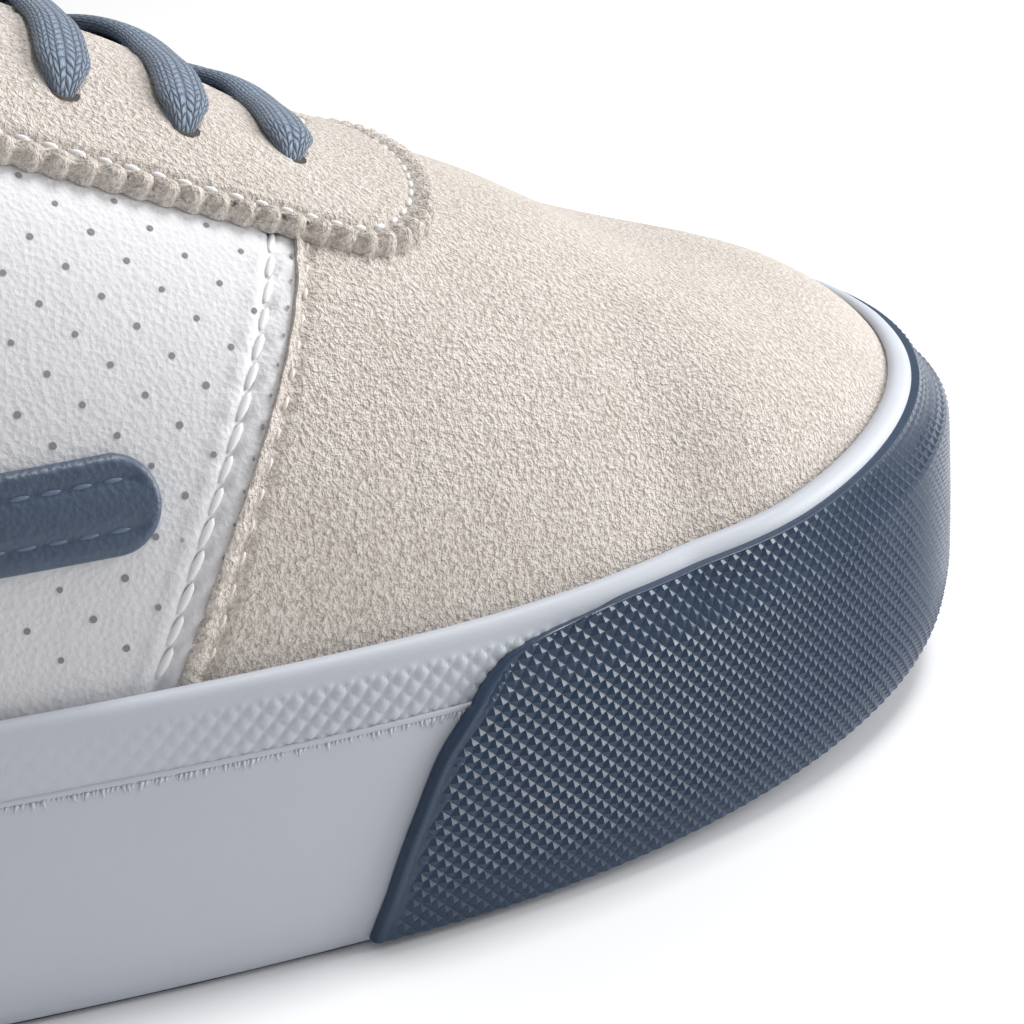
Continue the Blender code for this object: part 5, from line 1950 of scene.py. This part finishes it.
    def build_insole(self, cloth: bpy.types.Material) -> None:
        """Makes the insole, a thin footbed with a raised edge.

        Args:
            cloth: The cloth.
        """
        first, final = LAST.heel_turn, LAST.toe_turn
        u = np.concatenate([np.linspace(0.0, first, 40)[:-1], np.linspace(first, final, 50)[:-1],
                            np.linspace(final, 1.0, 50)])
        across = np.sin(np.linspace(-RIGHT_ANGLE, RIGHT_ANGLE, 21))
        lateral, medial = LAST.inset(u, self.insole_room), LAST.inset(2.0 - u, self.insole_room)
        part = (across + 1.0) / 2.0
        plan = lateral[:, None] * (1.0 - part)[None, :, None] + medial[:, None] * part[None, :, None]
        width = np.linalg.norm(lateral - medial, axis=-1)[:, None]
        edge = np.maximum((across**4)[None, :], 1.0 - smooth(width / (45.0 * MM)))
        low = LAST.floor_line(plan[..., 0]) + LAST.board
        top = low + self.insole_thick + self.insole_edge * edge
        outer = np.concatenate([plan, top[..., None]], axis=-1)
        inner = np.concatenate([plan, low[..., None]], axis=-1)
        hand_in(make_shell("insole_cloth", outer, inner, cloth), "insole_cloth", "insole")


@dataclass(frozen=True)
class Counter:
    """The suede heel counter, over the back of the quarters and down to the foxing."""

    front: float = 0.235
    height: float = 70.0 * MM
    under: float = 0.30 * MM
    thick: float = 1.3 * MM
    row: float = 2.6 * MM
    row_depth: float = 0.45 * MM

    def build(self, suede: bpy.types.Material) -> None:
        """Makes the counter.

        Args:
            suede: The suede.
        """
        start, end = (float(LAST.t_at(LAST.place(self.front), side)) for side in Side)
        share = np.linspace(-1.0, 1.0, 171)
        t = 2.0 + np.interp(share, (-1.0, 0.0, 1.0), (end - 2.0, 0.0, start))
        low = LAST.rise_at_height(t, LAST.floor_line(LAST.outline(t)[:, 0]) + FOXING.height - 1.5 * MM)
        fall = smooth((np.abs(share) - 0.25) / 0.85)
        high = LAST.rise_at_height(t, self.height - (self.height - FOXING.height) * fall)
        rise = low[:, None] + (high - low)[:, None] * np.linspace(0.0, 1.0, 60)[None, :]
        columns = t[:, None] * np.ones_like(rise)
        depth = distance_along(LAST.point(columns, rise)[:, ::-1], 1)[:, ::-1]
        row = self.row_depth * bump(depth, self.row, 0.9 * MM)
        lift = self.under + (self.thick - row) * rounded(depth, 0.9 * MM)
        outer = LAST.skin(columns, rise, lift)
        inner = LAST.skin(columns, rise, np.full(rise.shape, self.under - 0.2 * MM))
        hand_in(make_shell("heel_counter_suede", outer, inner, suede), "cream_suede", "heel_counter")


@dataclass(frozen=True)
class Braid(Finish):
    """Braided polyester lace: plump strands in slanted columns, with a silky thread gloss, painted darker
    between the strands and lighter on their tops.
    """

    # dark is painted shade: the cord's colour in the gaps between its strands
    dark: str = "#26364b"
    column: float = 0.55 * MM
    stitch: float = 1.02 * MM
    depth: float = 0.30 * MM
    thread: float = 0.55 * MM

    def build(self) -> bpy.types.Material:
        """The braided cord.

        Returns:
            The material.
        """
        made, tree, shader = self.start(Sheen_Weight=0.25, Sheen_Roughness=0.3)
        uv = add_node(tree, "ShaderNodeTexCoord").outputs["UV"]
        parts = add_node(tree, "ShaderNodeSeparateXYZ", None, {0: uv}).outputs
        stretch = add_node(tree, "ShaderNodeMapping", None, {"Vector": uv, "Scale": (1.0, 5.0, 1.0)})
        loose = add_node(tree, "ShaderNodeTexNoise", None, {"Vector": uv, "Scale": 1.0 / (1.6 * MM)})
        fine = add_node(tree, "ShaderNodeTexNoise", None, {
            "Vector": stretch.outputs[0], "Scale": 1.0 / self.thread, "Detail": 3.0})
        made_of = {"along": parts[0], "around": parts[1], "loose": loose.outputs["Fac"],
                   "fine": fine.outputs["Fac"]}
        # each step's result, its operation and its values, as numbers or as earlier results
        for result, operation, *values in (
                ("column", "DIVIDE", "around", self.column),
                ("inside", "PINGPONG", "column", 1.0),
                ("slant", "MULTIPLY_ADD", "inside", 0.55, "loose"),
                ("pair", "FLOOR", "column"),
                ("half", "DIVIDE", "pair", 2.0),
                ("odd", "FRACT", "half"),
                ("stitches", "DIVIDE", "along", self.stitch),
                ("slanted", "ADD", "stitches", "slant"),
                ("run", "ADD", "slanted", "odd"),
                ("angle", "MULTIPLY", "run", math.pi),
                ("wave", "SINE", "angle"),
                ("swell", "ABSOLUTE", "wave"),
                ("plait", "POWER", "swell", 0.6),
                ("share", "FRACT", "column"),
                ("turn", "MULTIPLY", "share", math.pi),
                ("arch", "SINE", "turn"),
                ("ridge", "POWER", "arch", 0.55),
                ("height", "MULTIPLY", "plait", "ridge"),
                ("total", "MULTIPLY_ADD", "fine", 0.60, "height"),
                ("tone_with_painted_light", "MULTIPLY", "total", 0.68)):
            step = add_node(tree, "ShaderNodeMath", {"operation": operation}, {
                i: made_of.get(value, value) for i, value in enumerate(values)})
            made_of[result] = step.outputs[0]
        # painted light: the colour follows the braid's height, dark in the gaps between strands and lightest
        # on the strand tops, with random thread noise
        mixed = add_node(tree, "ShaderNodeMix", {"data_type": "RGBA"}, {
            "Factor": made_of["tone_with_painted_light"], "A": linear(self.dark), "B": linear(self.colour)})
        return self.cover(made, shader, mixed.outputs["Result"], made_of["total"], self.depth)


@dataclass(frozen=True)
class Cloth(Finish):
    """Knitted lining cloth: a soft matte face of fine loops, painted darker in the low parts between them."""

    loop: float = 0.7 * MM
    depth: float = 0.10 * MM

    def build(self) -> bpy.types.Material:
        """The knitted cloth.

        Returns:
            The material.
        """
        made, tree, shader = self.start(Sheen_Weight=0.2)
        at = add_node(tree, "ShaderNodeTexCoord").outputs["UV"]
        waves = []
        for axis in ("X", "Y"):
            wave = add_node(tree, "ShaderNodeTexWave", {"bands_direction": axis}, {
                "Vector": at, "Scale": 0.314 / self.loop, "Distortion": 0.6, "Detail": 1.0,
                "Detail Scale": 2.0})
            waves.append(wave.outputs["Fac"])
        height = add_node(tree, "ShaderNodeMath", {"operation": "MULTIPLY"}, {0: waves[0], 1: waves[1]})
        # painted shade: the knit's colour drops to 0.82 of itself in the low parts between its loops
        dark = tuple(c * 0.82 for c in linear(self.colour)[:3]) + (1.0,)
        mixed = add_node(tree, "ShaderNodeMix", {"data_type": "RGBA"}, {
            "Factor": height.outputs[0], "A": dark, "B": linear(self.colour)})
        return self.cover(made, shader, mixed.outputs["Result"], height.outputs[0], self.depth)


@dataclass(frozen=True)
class Studio:
    """The pale floor, the soft lights and the camera at the photograph's angle."""

    azimuth: float = -26.0492
    elevation: float = 21.5508
    roll: float = 0.6562
    distance: float = 0.30
    lens: float = 94.63
    target: tuple = (0.0867, -0.0104, 0.0238)
    floor: float = 6.0
    surroundings: float = 0.36
    # name, place, aim, size and watts of each light
    lights: tuple = (
        ("key", (0.50, 0.12, 0.95), (0.06, 0.0, 0.03), 0.30, 6.1),
        ("right_panel", (0.95, -0.13, 0.31), (0.10, 0.0, 0.03), 0.60, 8.4),
    )

    def build_camera(self) -> None:
        """Makes the camera."""
        az, el, roll = (math.radians(v) for v in (self.azimuth, self.elevation, self.roll))
        back = Vector((math.sin(az) * math.cos(el), -math.cos(az) * math.cos(el), math.sin(el)))
        right = Vector((math.cos(az), math.sin(az), 0.0))
        up = back.cross(right)
        turned_right = right * math.cos(roll) - up * math.sin(roll)
        turned_up = right * math.sin(roll) + up * math.cos(roll)
        data = bpy.data.cameras.new("camera")
        data.lens = self.lens
        data.sensor_width = 36.0
        data.clip_start = 0.01
        camera = bpy.data.objects.new("camera", data)
        place = Vector(self.target) + back * self.distance
        camera.matrix_world = Matrix.Translation(place) @ Matrix(
            (turned_right, turned_up, back)).transposed().to_4x4()
        bpy.context.scene.collection.objects.link(camera)
        bpy.context.scene.camera = camera

    def build_floor(self) -> None:
        """Makes the floor."""
        made = Finish("pale_floor", "#f7f7f8", 0.9).start(Specular_IOR_Level=0.0)[0]
        corners = ((-1, -1, 0), (1, -1, 0), (1, 1, 0), (-1, 1, 0))
        floor = make_mesh("floor", np.array(corners) * self.floor, [(0, 1, 2, 3)], made)

    def add_light(self, name: str, place: tuple, aim: tuple, size: float, watts: float) -> None:
        """Adds one square area light that faces a point.

        Args:
            name: Its name.
            place: Where it stands.
            aim: The point it faces.
            size: Its edge length.
            watts: Its power.
        """
        data = bpy.data.lights.new(name, "AREA")
        data.size = size
        data.energy = watts
        lamp = bpy.data.objects.new(name, data)
        lamp.location = place
        lamp.rotation_euler = (Vector(aim) - Vector(place)).to_track_quat("-Z", "Y").to_euler()
        bpy.context.scene.collection.objects.link(lamp)

    def build_lights(self) -> None:
        """Makes the soft lights and the pale surroundings."""
        world = bpy.data.worlds.new("studio")
        world.use_nodes = True
        background = world.node_tree.nodes["Background"].inputs
        background["Color"].default_value = linear("#ffffff")
        background["Strength"].default_value = self.surroundings
        bpy.context.scene.world = world
        for light in self.lights:
            self.add_light(*light)
        bpy.context.scene.view_settings.view_transform = "Standard"


def dress_cad(**finishes: bpy.types.Material) -> None:
    """Gives the CAD nodes that stay their materials.

    Args:
        finishes: The material for each node.
    """
    for name, finish in finishes.items():
        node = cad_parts[name]
        node.data.materials.clear()
        node.data.materials.append(finish)


def main() -> None:
    """Builds the shoe and its studio."""
    logging.basicConfig(level=logging.INFO, format="%(name)s %(message)s")
    studio = Studio()
    studio.build_camera()
    studio.build_floor()
    studio.build_lights()
    suede = Suede("buffed_suede", "#d8cdc4", 0.92).build()
    leather = Leather("coated_white_leather", "#dfdfe1", 0.46, "#d3d3d6").build()
    white = Rubber("vulcanised_white_rubber", "#c4c8d1", 0.50, "#bdc2cb").build()
    blue = Rubber("moulded_blue_rubber", "#33465d", 0.29, "#2b3e55", gloss=0.45).build()
    tab_leather = Leather("grained_blue_leather", "#4a5a70", 0.42, "#3c4b60").build()
    cord = Braid("braided_polyester", "#95a7bf", 0.38).build()
    cloth = Cloth("knitted_lining", "#d9d5cf", 0.9).build()
    thread = Finish("white_nylon_thread", "#e9e9ea", 0.45).build()
    cream_thread = Finish("cream_nylon_thread", "#e9e1d8", 0.45).build()
    blue_thread = Finish("blue_nylon_thread", "#5d7088", 0.45).build()
    shadow = Finish("eyelet_shadow", "#4a4642", 0.95).build()
    # painted shade: flat grey discs stand in for the shade inside the perforations and the needle holes
    hole = Finish("punched_hole_shade", "#8a8788", 0.95).build()
    tab, inside = Tab(), Inside()
    Vamp().build(suede)
    QUARTERS.build(leather)
    EYESTAY.build(suede)
    Counter().build(suede)
    for side in Side:
        tab.build(side, tab_leather)
    FOXING.build_wall(white)
    FOXING.build_strip(white)
    BUMPER.build(blue)
    laces = Laces()
    laces.build(cord)
    laces.build_eyelets(shadow)
    inside.build_lining(cloth)
    inside.build_collar(cloth)
    inside.build_tongue(cloth)
    inside.build_insole(cloth)
    Stitching().build(thread, cream_thread, blue_thread, hole, tab)
    LipBurrs().build(white)
    Perforations().build(hole)
    foam = Rubber("moulded_foam", "#dcdbd8", 0.8, "#cfceca").build()
    dress_cad(outsole=blue, midsole=foam)


if __name__ == "__main__":
    main()
